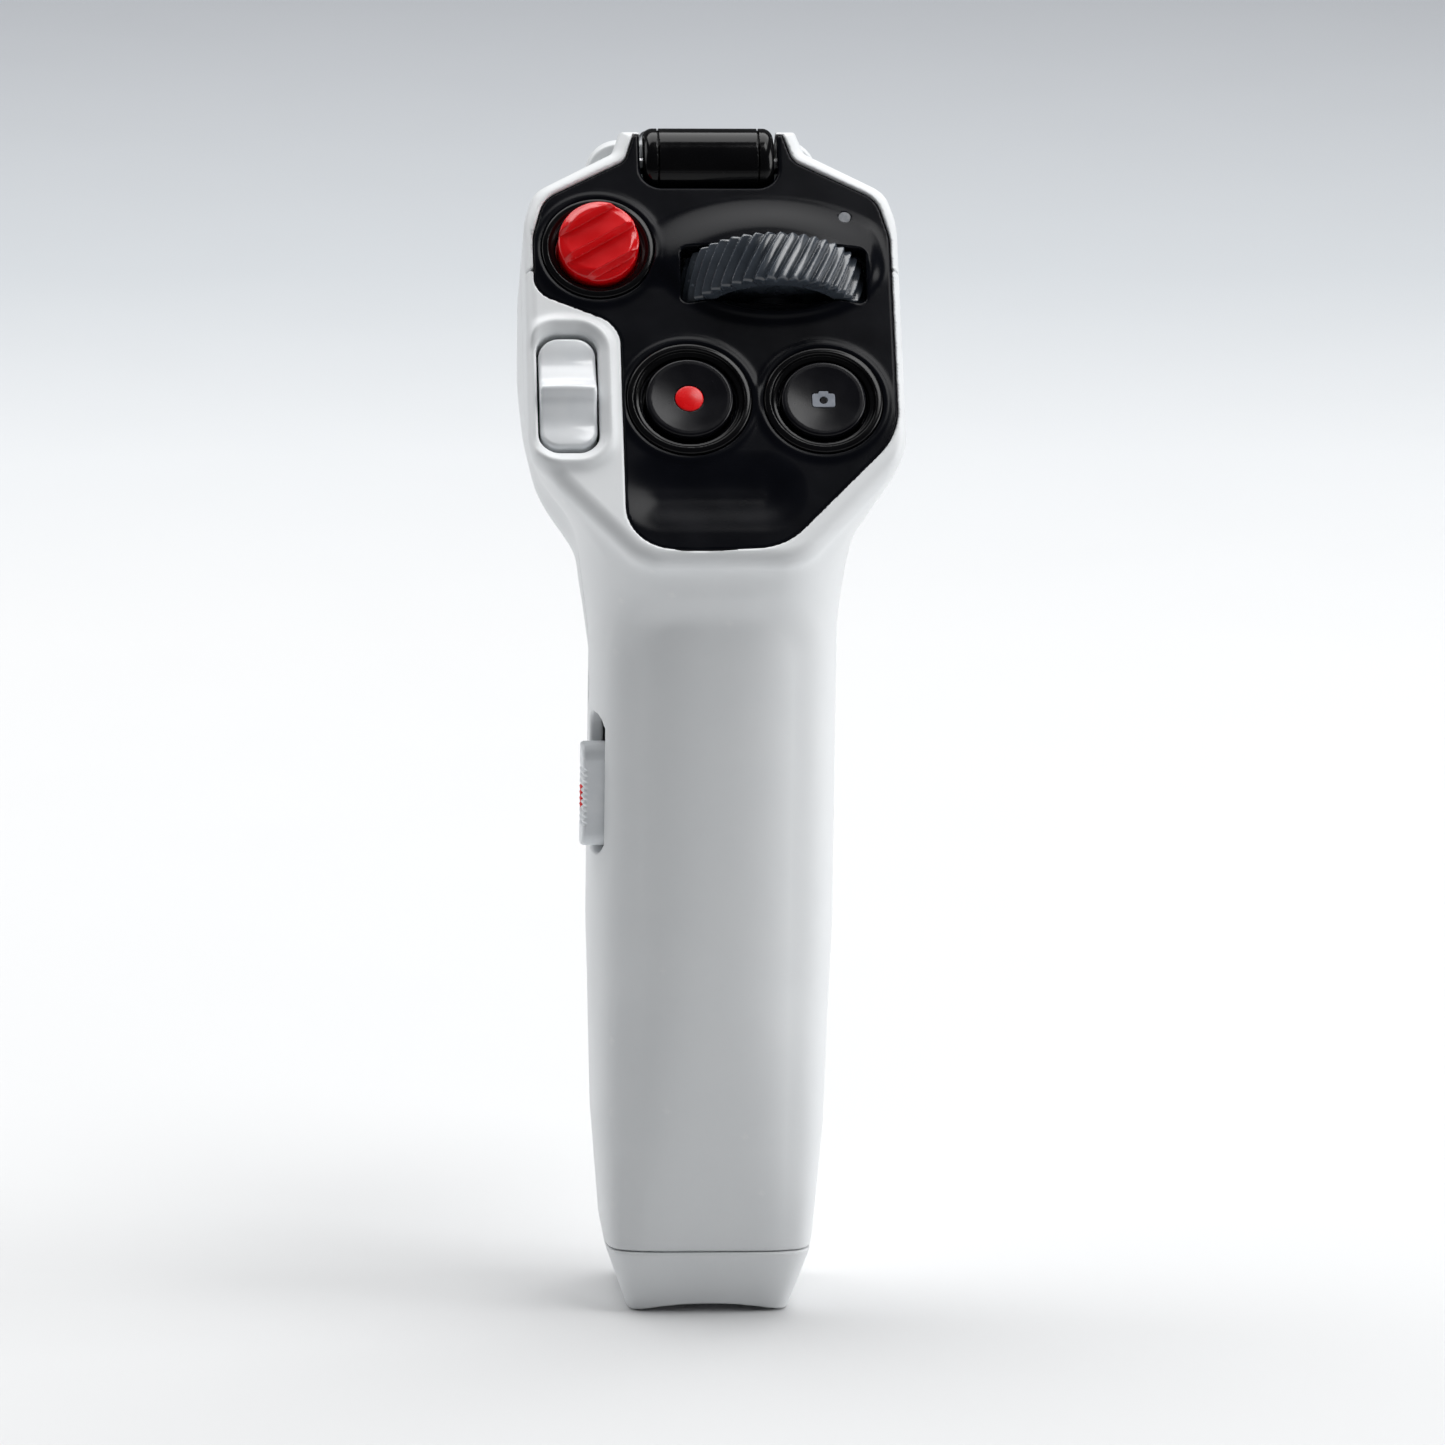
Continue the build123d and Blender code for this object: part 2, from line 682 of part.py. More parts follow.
finish(cross_pin(rocker_pin_at.Y, rocker_pin_at.Z, rocker_pin_radius, rocker_at[0] - 3.9,
                 rocker_at[0] + 3.9), "rocker_pin")

with BuildPart() as rocker_bracket:
    for side in (-1, 1):
        add(pad((rocker_at[0] + side * (ear_inner + 0.6), rocker_at[1]), 1.2, 4.0, -4.5, -board_depth))
    add(pad(rocker_at, 2 * ear_inner + 2.4, 4.0, -board_depth + 1.0, -board_depth))
    add(cross_pin(rocker_pin_at.Y, rocker_pin_at.Z, rocker_pin_radius + 0.02, -40, 40),
        mode=Mode.SUBTRACT)
finish(rocker_bracket.part, "rocker_bracket")

with BuildPart() as rocker_switches:
    for side in (-1, 1):
        at = (rocker_at[0], rocker_at[1] + side * 6.0)
        add(pad(at, 4.6, 4.6, -board_depth + 3.0, -board_depth, 0.4))
        add(disc(at, 1.0, -board_depth + 4.4, -board_depth + 3.0))
finish(rocker_switches.part, "rocker_switches")

# --- fold-out antenna ------------------------------------------------------------------------------
arm_front = head_front_y + paddle_gap
with BuildPart() as antenna_arm:
    add(cross_pin(pin_y, pin_z, hinge_radius, -hinge_width / 2, hinge_width / 2))
    add(side_cut([(pin_y, pin_z - 2.2), (arm_front, pin_z - 2.2), (arm_front, pin_z + 1.2),
                  (pin_y + 3.0, pin_z + 4.4), (pin_y, pin_z + 4.4)], hinge_width / 2))
    add(cross_pin(pin_y, pin_z, hinge_pin_radius + pin_play, -20, 20), mode=Mode.SUBTRACT)
finish(antenna_arm.part, "antenna_arm")

finish(cross_pin(pin_y, pin_z, hinge_pin_radius, -13.0, 13.0), "antenna_pin")

paddle_height = paddle_top - paddle_foot
paddle_wall = 1.2
with BuildPart() as antenna_paddle:
    with BuildSketch(Plane.XZ.offset(-arm_front)):
        with Locations((0, (paddle_top + paddle_foot) / 2)):
            RectangleRounded(paddle_width, paddle_height, 5.0)
    extrude(amount=-paddle_thickness)
    with BuildSketch(Plane.XZ.offset(-arm_front)):
        with Locations((0, (paddle_top + paddle_foot) / 2 - 2.0)):
            RectangleRounded(paddle_width - 2 * paddle_wall, paddle_height - 4.0 - 2 * paddle_wall, 3.8)
    extrude(amount=-(paddle_thickness - paddle_wall), mode=Mode.SUBTRACT)
finish(antenna_paddle.part, "antenna_paddle")

with BuildPart() as antenna_lid:
    with BuildSketch(Plane.XZ.offset(-arm_front)):
        with Locations((0, (paddle_top + paddle_foot) / 2 - 2.0)):
            RectangleRounded(
                paddle_width - 2 * paddle_wall - 0.1, paddle_height - 4.1 - 2 * paddle_wall, 3.7
            )
    extrude(amount=-1.0)
finish(antenna_lid.part, "antenna_lid")

with BuildPart() as antenna_element:
    with Locations((0, arm_front + 1.0 + 0.4, (paddle_top + paddle_foot) / 2 - 2.0)):
        Box(paddle_width - 8, 0.8, paddle_height - 11)
finish(antenna_element.part, "antenna_element")

# --- trigger -----------------------------------------------------------------------------------------
trig_y, trig_z = trigger_pivot
barrel_radius = 2.2
barrel_half = 9.0
coil_radius = 1.55
coil_length = 4.0
with BuildPart() as trigger:
    with BuildSketch(Plane.YZ):
        with BuildLine():
            outer_top = (head_front_y - 0.2, bay_roof - 0.8)
            inner_top = (outer_top[0] - trigger_thickness, outer_top[1])
            inner_foot = (trigger_foot[0] - trigger_thickness, trigger_foot[1] + 0.8)
            ThreePointArc(outer_top, trigger_belly, trigger_foot)
            Line(trigger_foot, inner_foot)
            ThreePointArc(
                inner_foot, (trigger_belly[0] - trigger_thickness, trigger_belly[1] + 0.5), inner_top
            )
            Line(inner_top, outer_top)
        make_face()
    extrude(amount=trigger_half_width, both=True)
    with BuildSketch(Plane.YZ):
        with Locations((trig_y, trig_z)):
            Circle(barrel_radius)
    extrude(amount=barrel_half, both=True)
    # room for the return spring beside the barrel
    add(cross_pin(trig_y, trig_z, coil_radius + 0.35, barrel_half + 0.3, barrel_half + coil_length + 1.2),
        mode=Mode.SUBTRACT)
    # the boss that holds the sensing magnet
    add(upright_bar(0, magnet_height, 2.6, magnet_back, magnet_back + 3.0))
    add(upright_bar(0, magnet_height, 1.52, magnet_back, magnet_back + 1.6), mode=Mode.SUBTRACT)
    add(cross_pin(trig_y, trig_z, trigger_pin_radius + pin_play, -40, 40), mode=Mode.SUBTRACT)
finish(trigger.part, "trigger")

finish(upright_bar(0, magnet_height, 1.5, magnet_back, magnet_back + 1.6), "trigger_magnet")

finish(cross_pin(trig_y, trig_z, trigger_pin_radius, -25.0, 25.0), "trigger_pin")

with BuildPart() as trigger_spring:
    with BuildLine() as coil:
        Helix(pitch=0.8, height=coil_length, radius=coil_radius,
              center=(barrel_half + 0.7, trig_y, trig_z), direction=(1, 0, 0))
    with BuildSketch(Plane(origin=coil.line @ 0, z_dir=coil.line % 0)):
        Circle(0.2)
    sweep()
finish(trigger_spring.part, "trigger_spring")

# --- power slider and the side window -----------------------------------------------------------------
slider_y_from = slot_y - slider_width / 2
with BuildPart() as slider_body:
    with Locations((-grip_half_width - slider_proud + 2.8, slot_y, slider_rest + slider_length / 2)):
        Box(5.6, slider_width, slider_length)
    fillet(slider_body.edges().filter_by(Axis.X), 2.2)
    fillet(slider_body.faces().sort_by(Axis.X)[0].edges(), 0.5)
    # the plate that holds it in, and the tongue that works the switch
    plate_x = -grip_half_width + wall + 2.45
    with Locations((plate_x, slot_y, slider_rest + slider_length / 2)):
        Box(1.0, slider_width + 1.6, slider_length + 1.6)
    with Locations((plate_x + 0.95, slot_y, slider_rest + slider_length / 2)):
        Box(2.4, 1.4, 1.8)

with BuildPart() as slider_mark:
    mark_x = -grip_half_width - slider_proud
    with Locations((mark_x + 0.25, slot_y - 0.2, slider_rest + 7.4)):
        Box(0.5, 2.4, 3.2)
with BuildPart() as power_slider:
    add(slider_body.part)
    add(slider_mark.part, mode=Mode.SUBTRACT)
finish(power_slider.part, "power_slider")
finish(slider_mark.part, "slider_mark")

with BuildPart() as side_window:
    with Locations((-grip_half_width + 1.5, 0.2, window_foot + window_height / 2)):
        Box(2.8, 2.1, window_height - 0.1)
    fillet(side_window.edges().filter_by(Axis.X), 0.85)
finish(side_window.part, "side_window")

# --- battery, boards and motor in the grip ---------------------------------------------------------------
with BuildPart() as battery_cell:
    with BuildSketch(Plane.XY.offset(cell_foot)):
        with Locations((0, cell_y)):
            Circle(cell_radius)
    extrude(amount=cell_length)
    with BuildSketch(Plane.XY.offset(cell_foot + cell_length)):
        with Locations((0, cell_y)):
            Circle(2.8)
    extrude(amount=0.8)
finish(battery_cell.part, "battery_cell")

cradle_half_width = 10.3
with BuildPart() as battery_cradle:
    with Locations((0, -10.2, (cell_foot - 1.6 + cell_foot + cell_length + 2.6) / 2)):
        Box(2 * cradle_half_width, 11.6, cell_length + 4.2)
    with BuildSketch(Plane.XY.offset(cell_foot)):
        with Locations((0, cell_y)):
            Circle(cell_radius + 0.2)
    extrude(amount=cell_length + 0.8, mode=Mode.SUBTRACT)
    add(inner_safe, mode=Mode.INTERSECT)
    # the end walls' terminals: the top wall carries the motor
    with Locations((0, -6.0, cell_foot + cell_length + 1.7)):
        Box(14.0, 11.0, 1.8)
    with Locations((0, -6.0, cell_foot - 0.8)):
        Box(14.0, 11.0, 1.6)
    # relief that keeps the rear bosses clear
    for x, z in case_screw_places:
        add(upright_bar(x, z, 2.9, -30, parting_y), mode=Mode.SUBTRACT)
finish(battery_cradle.part, "battery_cradle")

with BuildPart() as vibration_motor:
    with BuildSketch(Plane.XY.offset(cell_foot + cell_length + 2.6)):
        with Locations((0, -6.0)):
            Circle(5.0)
    extrude(amount=3.2)
finish(vibration_motor.part, "vibration_motor")

with BuildPart() as slide_switch:
    with Locations((-cradle_half_width - 1.4, slot_y - 0.4, slider_rest + slider_length / 2 + 2.0)):
        Box(2.8, 4.4, 14.0)
    with Locations((-cradle_half_width - 2.2, slot_y, slider_rest + slider_length / 2 + slider_travel / 2)):
        Box(3.0, 2.0, slider_travel + 2.8, mode=Mode.SUBTRACT)
finish(slide_switch.part, "slide_switch")

with BuildPart() as main_board:
    with Locations((0, main_board_y + board_thickness / 2, 66.0)):
        Box(main_board_width, board_thickness, 88.0)
finish(main_board.part, "main_board")

with BuildPart() as radio_module:
    with Locations((0, main_board_y + board_thickness + 0.9, 78.0)):
        Box(11.0, 1.8, 15.0)
finish(radio_module.part, "radio_module")

with BuildPart() as hall_sensor:
    with Locations((0, main_board_y - 1.0, 107.0)):
        Box(4.0, 2.0, 3.0)
finish(hall_sensor.part, "hall_sensor")

with BuildPart() as usb_socket:
    with BuildSketch(Plane.XY.offset(0.4)):
        with Locations((0, socket_y)):
            RectangleRounded(9.2, 3.4, 1.6)
            RectangleRounded(8.4, 2.6, 1.2, mode=Mode.SUBTRACT)
    extrude(amount=5.0)
    with BuildSketch(Plane.XY.offset(2.4)):
        with Locations((0, socket_y)):
            RectangleRounded(9.2, 3.4, 1.6)
    extrude(amount=3.0)
    with Locations((0, socket_y, 2.2)):
        Box(6.6, 0.7, 2.6)
finish(usb_socket.part, "usb_socket")

with BuildPart() as charge_board:
    with Locations((0, 0.8, 6.2)):
        Box(19.0, 14.4, 1.6)
finish(charge_board.part, "charge_board")
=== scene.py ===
import json
import math

import bpy
import numpy as np
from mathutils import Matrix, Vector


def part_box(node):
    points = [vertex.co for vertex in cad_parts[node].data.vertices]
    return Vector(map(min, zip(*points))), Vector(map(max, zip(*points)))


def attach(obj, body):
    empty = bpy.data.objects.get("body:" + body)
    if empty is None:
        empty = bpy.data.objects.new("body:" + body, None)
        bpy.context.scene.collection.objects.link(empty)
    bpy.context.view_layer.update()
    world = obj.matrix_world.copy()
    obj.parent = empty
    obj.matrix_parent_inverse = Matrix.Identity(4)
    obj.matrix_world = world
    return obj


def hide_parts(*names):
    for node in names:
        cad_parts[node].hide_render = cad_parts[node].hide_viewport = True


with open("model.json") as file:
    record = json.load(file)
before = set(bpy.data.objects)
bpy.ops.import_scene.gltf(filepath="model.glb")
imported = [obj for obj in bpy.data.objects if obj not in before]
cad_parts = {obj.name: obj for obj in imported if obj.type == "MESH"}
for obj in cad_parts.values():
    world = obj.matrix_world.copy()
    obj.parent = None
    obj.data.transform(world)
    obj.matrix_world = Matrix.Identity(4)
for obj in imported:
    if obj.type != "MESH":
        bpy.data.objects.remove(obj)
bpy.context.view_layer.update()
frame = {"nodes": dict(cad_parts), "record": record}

import openvdb
from mathutils import Matrix, Vector

# ---- base cap --------------------------------------------------------------------------------
# The moulded cap that closes the foot of the grip and that the grip stands on. White ABS with a
# fine spark-eroded grain; it snaps into the grip by a thin spigot and has a shallow thumb notch at
# the back edge and the mouth of the charging socket underneath. Its sizes are in millimetres.


def round_and(a, b, radius):
    """What two solids share, its edge rounded."""
    if radius <= 0:
        return np.maximum(a, b)
    return np.minimum(-radius, np.maximum(a, b)) + np.hypot(
        np.maximum(radius + a, 0), np.maximum(radius + b, 0)
    )


def cut(solid, tool, radius=0.0):
    return round_and(solid, -tool, radius)


def slab(p, low, high):
    """The space between two parallel planes."""
    return np.abs(p - (low + high) / 2) - (high - low) / 2


def round_rect(p, q, half_p, half_q, corner):
    """Distance to a rectangle with rounded corners."""
    a = np.abs(p) - half_p + corner
    b = np.abs(q) - half_q + corner
    return np.hypot(np.maximum(a, 0), np.maximum(b, 0)) + np.minimum(np.maximum(a, b), 0) - corner


def flowing(places, values, reach):
    """A curve through a row of values, its bends softened over a reach in millimetres."""
    step = 0.25
    fine = np.arange(-60, 240, step)
    count = 2 * int(reach / step / 2) + 1
    window = np.hanning(count + 2)
    rough = np.pad(np.interp(fine, places, values), count // 2 + 1, mode="edge")
    smooth = np.convolve(rough, window / window.sum(), mode="valid")
    return lambda p: np.interp(p, fine, smooth)


def skin(name, solid, low, high, pitch, body, nodes, place=None):
    """A piece's surface drawn round the solid where its distance is zero, hung on its body, with the parts
    it replaces hidden.
    """
    low, high = np.array(low, float), np.array(high, float)
    counts = np.ceil((high - low) / pitch).astype(int) + 1
    axes = [low[i] + pitch * np.arange(counts[i]) for i in range(3)]
    grid = np.meshgrid(*axes, indexing="ij", sparse=True)
    dense = np.ascontiguousarray(np.broadcast_to(solid(*grid), counts), dtype=np.float32)
    volume = openvdb.FloatGrid(background=3.0)
    volume.copyFromArray(dense)
    points, quads = volume.convertToQuads(0.0)
    points = points.astype(float) * pitch + low

    def slope(at, reach):
        parts = []
        for i in range(3):
            step = np.zeros(3)
            step[i] = reach
            parts.append((solid(*(at + step).T) - solid(*(at - step).T)) / (2 * reach))
        return np.stack(parts, 1)

    # draw each point onto the true surface
    for _turn in range(3):
        steep = slope(points, 0.02)
        lean = np.maximum((steep**2).sum(1), 0.05)
        move = -(solid(*points.T) / lean)[:, None] * steep
        far = np.maximum(np.linalg.norm(move, axis=1) / (0.4 * pitch), 1)
        points = points + move / far[:, None]
    normals = slope(points, 0.25 * pitch)
    normals /= np.maximum(np.linalg.norm(normals, axis=1), 1e-9)[:, None]
    a, b, c = (points[quads[:, i]] for i in range(3))
    if (np.cross(b - a, c - b) * normals[quads[:, 0]]).sum() < 0:
        quads = quads[:, ::-1]
    if place is not None:
        turn, origin = place
        points = points @ turn.T + origin
        normals = normals @ turn.T
    mesh = bpy.data.meshes.new(name)
    mesh.from_pydata((points / 1000.0).tolist(), [], quads.tolist())
    mesh.polygons.foreach_set("use_smooth", np.ones(len(mesh.polygons), bool))
    mesh.normals_split_custom_set_from_vertices(normals.tolist())
    piece = bpy.data.objects.new(name, mesh)
    bpy.context.scene.collection.objects.link(piece)
    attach(piece, body)
    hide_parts(*nodes)
    return piece


def wire(tree, source, target):
    tree.links.new(source, target)


def blank(name):
    """A new material with its node tree, its shader and the object's own coordinates."""
    material = bpy.data.materials.new(name)
    material.use_nodes = True
    tree = material.node_tree
    shader = tree.nodes["Principled BSDF"]
    where = tree.nodes.new("ShaderNodeTexCoord")
    return material, tree, shader, where.outputs["Object"]


def speckle(tree, where, size, detail=3.0, stretch=None):
    """Noise with a grain of the given size in millimetres."""
    noise = tree.nodes.new("ShaderNodeTexNoise")
    noise.inputs["Scale"].default_value = 1000.0 / size
    noise.inputs["Detail"].default_value = detail
    if stretch:
        mapping = tree.nodes.new("ShaderNodeMapping")
        mapping.inputs["Scale"].default_value = stretch
        wire(tree, where, mapping.inputs["Vector"])
        where = mapping.outputs["Vector"]
    wire(tree, where, noise.inputs["Vector"])
    return noise.outputs["Fac"]


def ramp(tree, value, stops):
    """Colours along a value: stops are (place, (r, g, b))."""
    node = tree.nodes.new("ShaderNodeValToRGB")
    while len(node.color_ramp.elements) < len(stops):
        node.color_ramp.elements.new(0.5)
    for element, (place, colour) in zip(node.color_ramp.elements, stops):
        element.position = place
        element.color = (*colour, 1.0)
    wire(tree, value, node.inputs["Fac"])
    return node.outputs["Color"]


def spread(tree, value, low, high, start=0.3, end=0.7):
    """A value stretched from start..end to low..high."""
    node = tree.nodes.new("ShaderNodeMapRange")
    node.inputs["From Min"].default_value = start
    node.inputs["From Max"].default_value = end
    node.inputs["To Min"].default_value = low
    node.inputs["To Max"].default_value = high
    wire(tree, value, node.inputs["Value"])
    return node.outputs["Result"]


def mixed(tree, factor, under, over):
    node = tree.nodes.new("ShaderNodeMix")
    node.data_type = "RGBA"
    wire(tree, factor, node.inputs[0])
    wire(tree, under, node.inputs[6])
    wire(tree, over, node.inputs[7])
    return node.outputs[2]


def rubbed(tree, start, end):
    """How far a spot is a rubbed outer edge."""
    shape = tree.nodes.new("ShaderNodeNewGeometry")
    return spread(tree, shape.outputs["Pointiness"], 0.0, 1.0, start, end)


def grain(tree, shader, height, depth, strength):
    """Surface relief of the given depth in millimetres."""
    bump = tree.nodes.new("ShaderNodeBump")
    bump.inputs["Distance"].default_value = depth / 1000.0
    bump.inputs["Strength"].default_value = strength
    wire(tree, height, bump.inputs["Height"])
    wire(tree, bump.outputs["Normal"], shader.inputs["Normal"])


def moulded(name, dark, mid, light, edge, rough, size, depth, patch=9.0, coat=0.0, gloss=0.5):
    """A moulded plastic: tone in patches, a grain, handled patches and paler rubbed edges."""
    material, tree, shader, where = blank(name)
    fine = speckle(tree, where, size)
    broad = speckle(tree, where, patch, 4.0)
    tone = ramp(tree, broad, [(0.32, dark), (0.5, mid), (0.68, light)])
    worn = ramp(tree, fine, [(0.3, edge), (0.7, mid)])
    wire(tree, mixed(tree, rubbed(tree, 0.52, 0.62), tone, worn), shader.inputs["Base Color"])
    wire(tree, spread(tree, broad, rough[0], rough[1]), shader.inputs["Roughness"])
    grain(tree, shader, fine, depth, 0.5)
    shader.inputs["Specular IOR Level"].default_value = gloss
    if coat:
        shader.inputs["Coat Weight"].default_value = coat
        shader.inputs["Coat Roughness"].default_value = 0.12
    return material


white_plastic = moulded(
    "white_casing", (0.745, 0.762, 0.775), (0.755, 0.772, 0.784), (0.766, 0.782, 0.793),
    (0.80, 0.81, 0.815), (0.42, 0.50), 0.24, 0.010,
)

cap_top = 9.8
half_across = flowing([-5, 0, cap_top, 28, 58, 121], [10.3, 12.1, 15.6, 17.3, 18.4, 18.4], 4)
half_deep = flowing([-5, 0, cap_top, 28, 58, 121], [10.2, 11.6, 14.4, 16.2, 17.0, 17.6], 4)
squareness = flowing([0, cap_top, 24, 48, 121], [9.0, 6.5, 3.9, 2.7, 2.55], 10)
parting_gap = 0.05
casing_wall = 2.0
spigot_depth, spigot_height = (2.15, 3.5), 3.4
post_across, post_deep, post_radius, post_top = 7.5, 5.5, 1.5, 5.4
notch_width, notch_rise, notch_end = 22.5, 1.25, -5.6
mouth_y, mouth_depth = 5.0, 3.0


def grip(x, y, z):
    """The hand grip's outside: a soft square section that swells upward."""
    power = squareness(z)
    a, b = half_across(z), half_deep(z)
    ratio = (np.abs(x / a) ** power + np.abs(y / b) ** power + 1e-12) ** (1 / power)
    return (ratio - 1) * 0.5 * (a + b)


def base_cap(x, y, z):
    body = grip(x, y, z)
    foot = round_and(body, -z, 0.4)
    hollow = round_and(body + casing_wall, casing_wall - z, 1.0)
    wall = cut(round_and(foot, z - cap_top + parting_gap, 0.3), hollow, 0.2)
    band = np.maximum(body + spigot_depth[0], -(body + spigot_depth[1]))
    spigot = round_and(band, slab(z, cap_top - 2, cap_top + spigot_height), 0.3)
    posts = np.hypot(np.abs(x) - post_across, np.abs(y) - post_deep) - post_radius
    posts = np.maximum(posts, slab(z, 1.0, post_top))
    arch = (notch_width**2 / 4 + notch_rise**2) / (2 * notch_rise)
    notch = np.maximum(np.hypot(x, z - notch_rise + arch) - arch, y - notch_end)
    mouth = np.maximum(round_rect(x, y - mouth_y, 4.85, 1.95, 1.8), z - mouth_depth)
    solid = np.minimum(np.minimum(wall, spigot), posts)
    return cut(cut(solid, notch, 0.35), mouth, 0.3)


cap_piece = skin(
    "cap_shell", base_cap, (-17, -16, -1), (17, 16, 15), 0.4, "housing", ["base_cap"]
)
cap_piece.data.materials.append(white_plastic)

# ---- rear shell ------------------------------------------------------------------------------
# The back half of the casing, moulded in one with the neck and most of the head. White ABS, matt.
# A soft arch marks where the palm's hollow starts under the head; the rim round the control panel,
# the rocker's raised surround and the power slider's slot are all part of the same moulding.


def middle(node):
    """The middle of a node's box, in millimetres."""
    low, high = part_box(node)
    return tuple(500.0 * (a + b) for a, b in zip(low, high))


def side(node, axis, end):
    """One side of a node's box, in millimetres: end is 0 for the low side and 1 for the high."""
    return 1000.0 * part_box(node)[end][axis]


def round_or(a, b, radius):
    """Two solids joined, the inner corner filled by a radius."""
    return np.maximum(radius, np.minimum(a, b)) - np.hypot(
        np.maximum(radius - a, 0), np.maximum(radius - b, 0)
    )


def ease(t):
    t = np.clip(t, 0, 1)
    return t * t * (3 - 2 * t)


face_turn = math.radians(40.0)
up_y, up_z = math.sin(face_turn), math.cos(face_turn)
panel_sink, panel_back = 0.3, 2.3
face_y = side("control_panel", 1, 0) - panel_sink * up_z
face_z = side("control_panel", 2, 0) + panel_back * up_y
face_axes = np.array([[1, 0, 0], [0, up_y, -up_z], [0, up_z, up_y]])
face_place = (face_axes, np.array([0.0, face_y, face_z]))


def up_face(y, z):
    """Distance up the control face from its foot."""
    return (y - face_y) * up_y + (z - face_z) * up_z


def off_face(y, z):
    """Height over the control face."""
    return (z - face_z) * up_y - (y - face_y) * up_z


def rounded(corners, radii):
    """A closed outline of straight sides with an arc at each corner."""
    line = []
    count = len(corners)
    for i, radius in enumerate(radii):
        here, before, after = (np.array(corners[k % count], float) for k in (i, i - 1, i + 1))
        p, q = before - here, after - here
        p, q = p / np.linalg.norm(p), q / np.linalg.norm(q)
        half = math.acos(max(-1.0, min(1.0, float(p @ q)))) / 2
        if radius <= 0 or half > 1.56:
            line.append(here)
            continue
        reach = radius / math.tan(half)
        centre = here + (p + q) / np.linalg.norm(p + q) * radius / math.sin(half)
        start, end = here + p * reach - centre, here + q * reach - centre
        a0, a1 = math.atan2(start[1], start[0]), math.atan2(end[1], end[0])
        sweep = (a1 - a0 + math.pi) % (2 * math.pi) - math.pi
        for t in np.linspace(0, 1, 13):
            angle = a0 + sweep * t
            line.append(centre + radius * np.array([math.cos(angle), math.sin(angle)]))
    return np.array(line)


def outline(corners, radii, margin=8.0, step=0.2):
    """Signed distance to an outline, negative inside, read from a table."""
    line = rounded(corners, radii)
    low, high = line.min(0) - margin, line.max(0) + margin
    nx, ny = (np.ceil((high - low) / step).astype(int) + 1).tolist()
    px, py = np.meshgrid(low[0] + step * np.arange(nx), low[1] + step * np.arange(ny), indexing="ij")
    far = np.full(px.shape, 1e9)
    inside = np.zeros(px.shape, bool)
    for a, b in zip(line, np.roll(line, -1, axis=0)):
        ex, ey = b - a
        length = max(ex * ex + ey * ey, 1e-12)
        t = np.clip(((px - a[0]) * ex + (py - a[1]) * ey) / length, 0, 1)
        far = np.minimum(far, (px - a[0] - t * ex) ** 2 + (py - a[1] - t * ey) ** 2)
        if abs(ey) > 1e-12:
            crosses = (a[1] > py) != (b[1] > py)
            inside ^= crosses & (px < a[0] + (py - a[1]) / ey * ex)
    table = np.where(inside, -1, 1) * np.sqrt(far)

    def distance(p, q):
        i = np.clip((p - low[0]) / step, 0, nx - 1.001)
        j = np.clip((q - low[1]) / step, 0, ny - 1.001)
        i, j = np.broadcast_arrays(i, j)
        i0, j0 = i.astype(int), j.astype(int)
        s, t = i - i0, j - j0
        return (
            table[i0, j0] * (1 - s) * (1 - t) + table[i0 + 1, j0] * s * (1 - t)
            + table[i0, j0 + 1] * (1 - s) * t + table[i0 + 1, j0 + 1] * s * t
        )

    return distance


head_edge = outline(
    [(-12, -3), (12, -3), (28.8, 16), (28.8, 55), (26.2, 60.4), (14.5, 67), (13.2, 70.8),
     (-13.2, 70.8), (-14.5, 67), (-26.2, 60.4), (-28.8, 55), (-28.8, 16)],
    [8, 8, 9, 8, 6, 1.5, 0.6, 0.6, 1.5, 6, 8, 9],
)
head_side = outline(
    [(-40, 96), (10, 96), (10, 105.5), (27, 114), (35, 127), (37, 137), (37, 195), (-40, 195)],
    [0, 0, 3, 6, 6, 8, 0, 0],
)
panel_edge = outline(
    [(-11.2, 69.5), (-12.6, 65), (-24.9, 58.4), (-26.6, 52), (-26.6, 42.4), (-14, 37), (-14, 0),
     (-4, -0.9), (9.2, -0.3), (26.6, 18.4), (26.6, 52), (24.9, 58.4), (12.6, 65), (11.2, 69.5)],
    [0, 2.5, 5, 6, 4, 5, 7, 20, 10, 11, 6, 5, 2.5, 0],
)
bay_side = outline([(60, 139), (30.6, 139), (30.6, 136.5), (18.6, 112), (18.6, 85), (60, 85)],
                   [0, 0.6, 2, 3, 0, 0])
front_flank = flowing([96, 104, 111, 113, 114.6, 117.5, 120.2, 125, 133, 150],
                      [18.4, 18.5, 20.0, 21.2, 22.4, 24.4, 25.8, 27.4, 28.8, 28.8], 4)
rear_flank = flowing([96, 105, 110, 114, 117, 120, 124, 128, 131.5, 150],
                     [18.4, 18.4, 18.6, 19.1, 20.0, 22.0, 25.3, 27.5, 28.8, 28.8], 3)
palm_top, palm_long, palm_half, palm_hollow = 111.5, 60.0, 16.6, 0.7
surround_rise = 0.85
hinge_y, hinge_z = middle("antenna_pin")[1:]
cover_seam = 46.4
rocker_u = middle("zoom_rocker")[0]
rocker_v = up_face(*middle("rocker_pin")[1:])
window_across, window_along, window_depth = 4.55, 10.05, 6.0
slider_y = middle("power_slider")[1]
pane_y, pane_z = middle("side_window")[1:]
left_inside = -14.0
slot_low, slot_high, slot_half = 70.0, 91.0, 3.4
head_thick, panel_room = 44.0, 4.3
bay_half, notch_half, notch_radius = 21.5, 10.2, 6.2
ledge_reach, ledge_depth = 1.5, 20.0
parting_y, parting_depth = 2.0, 13.0


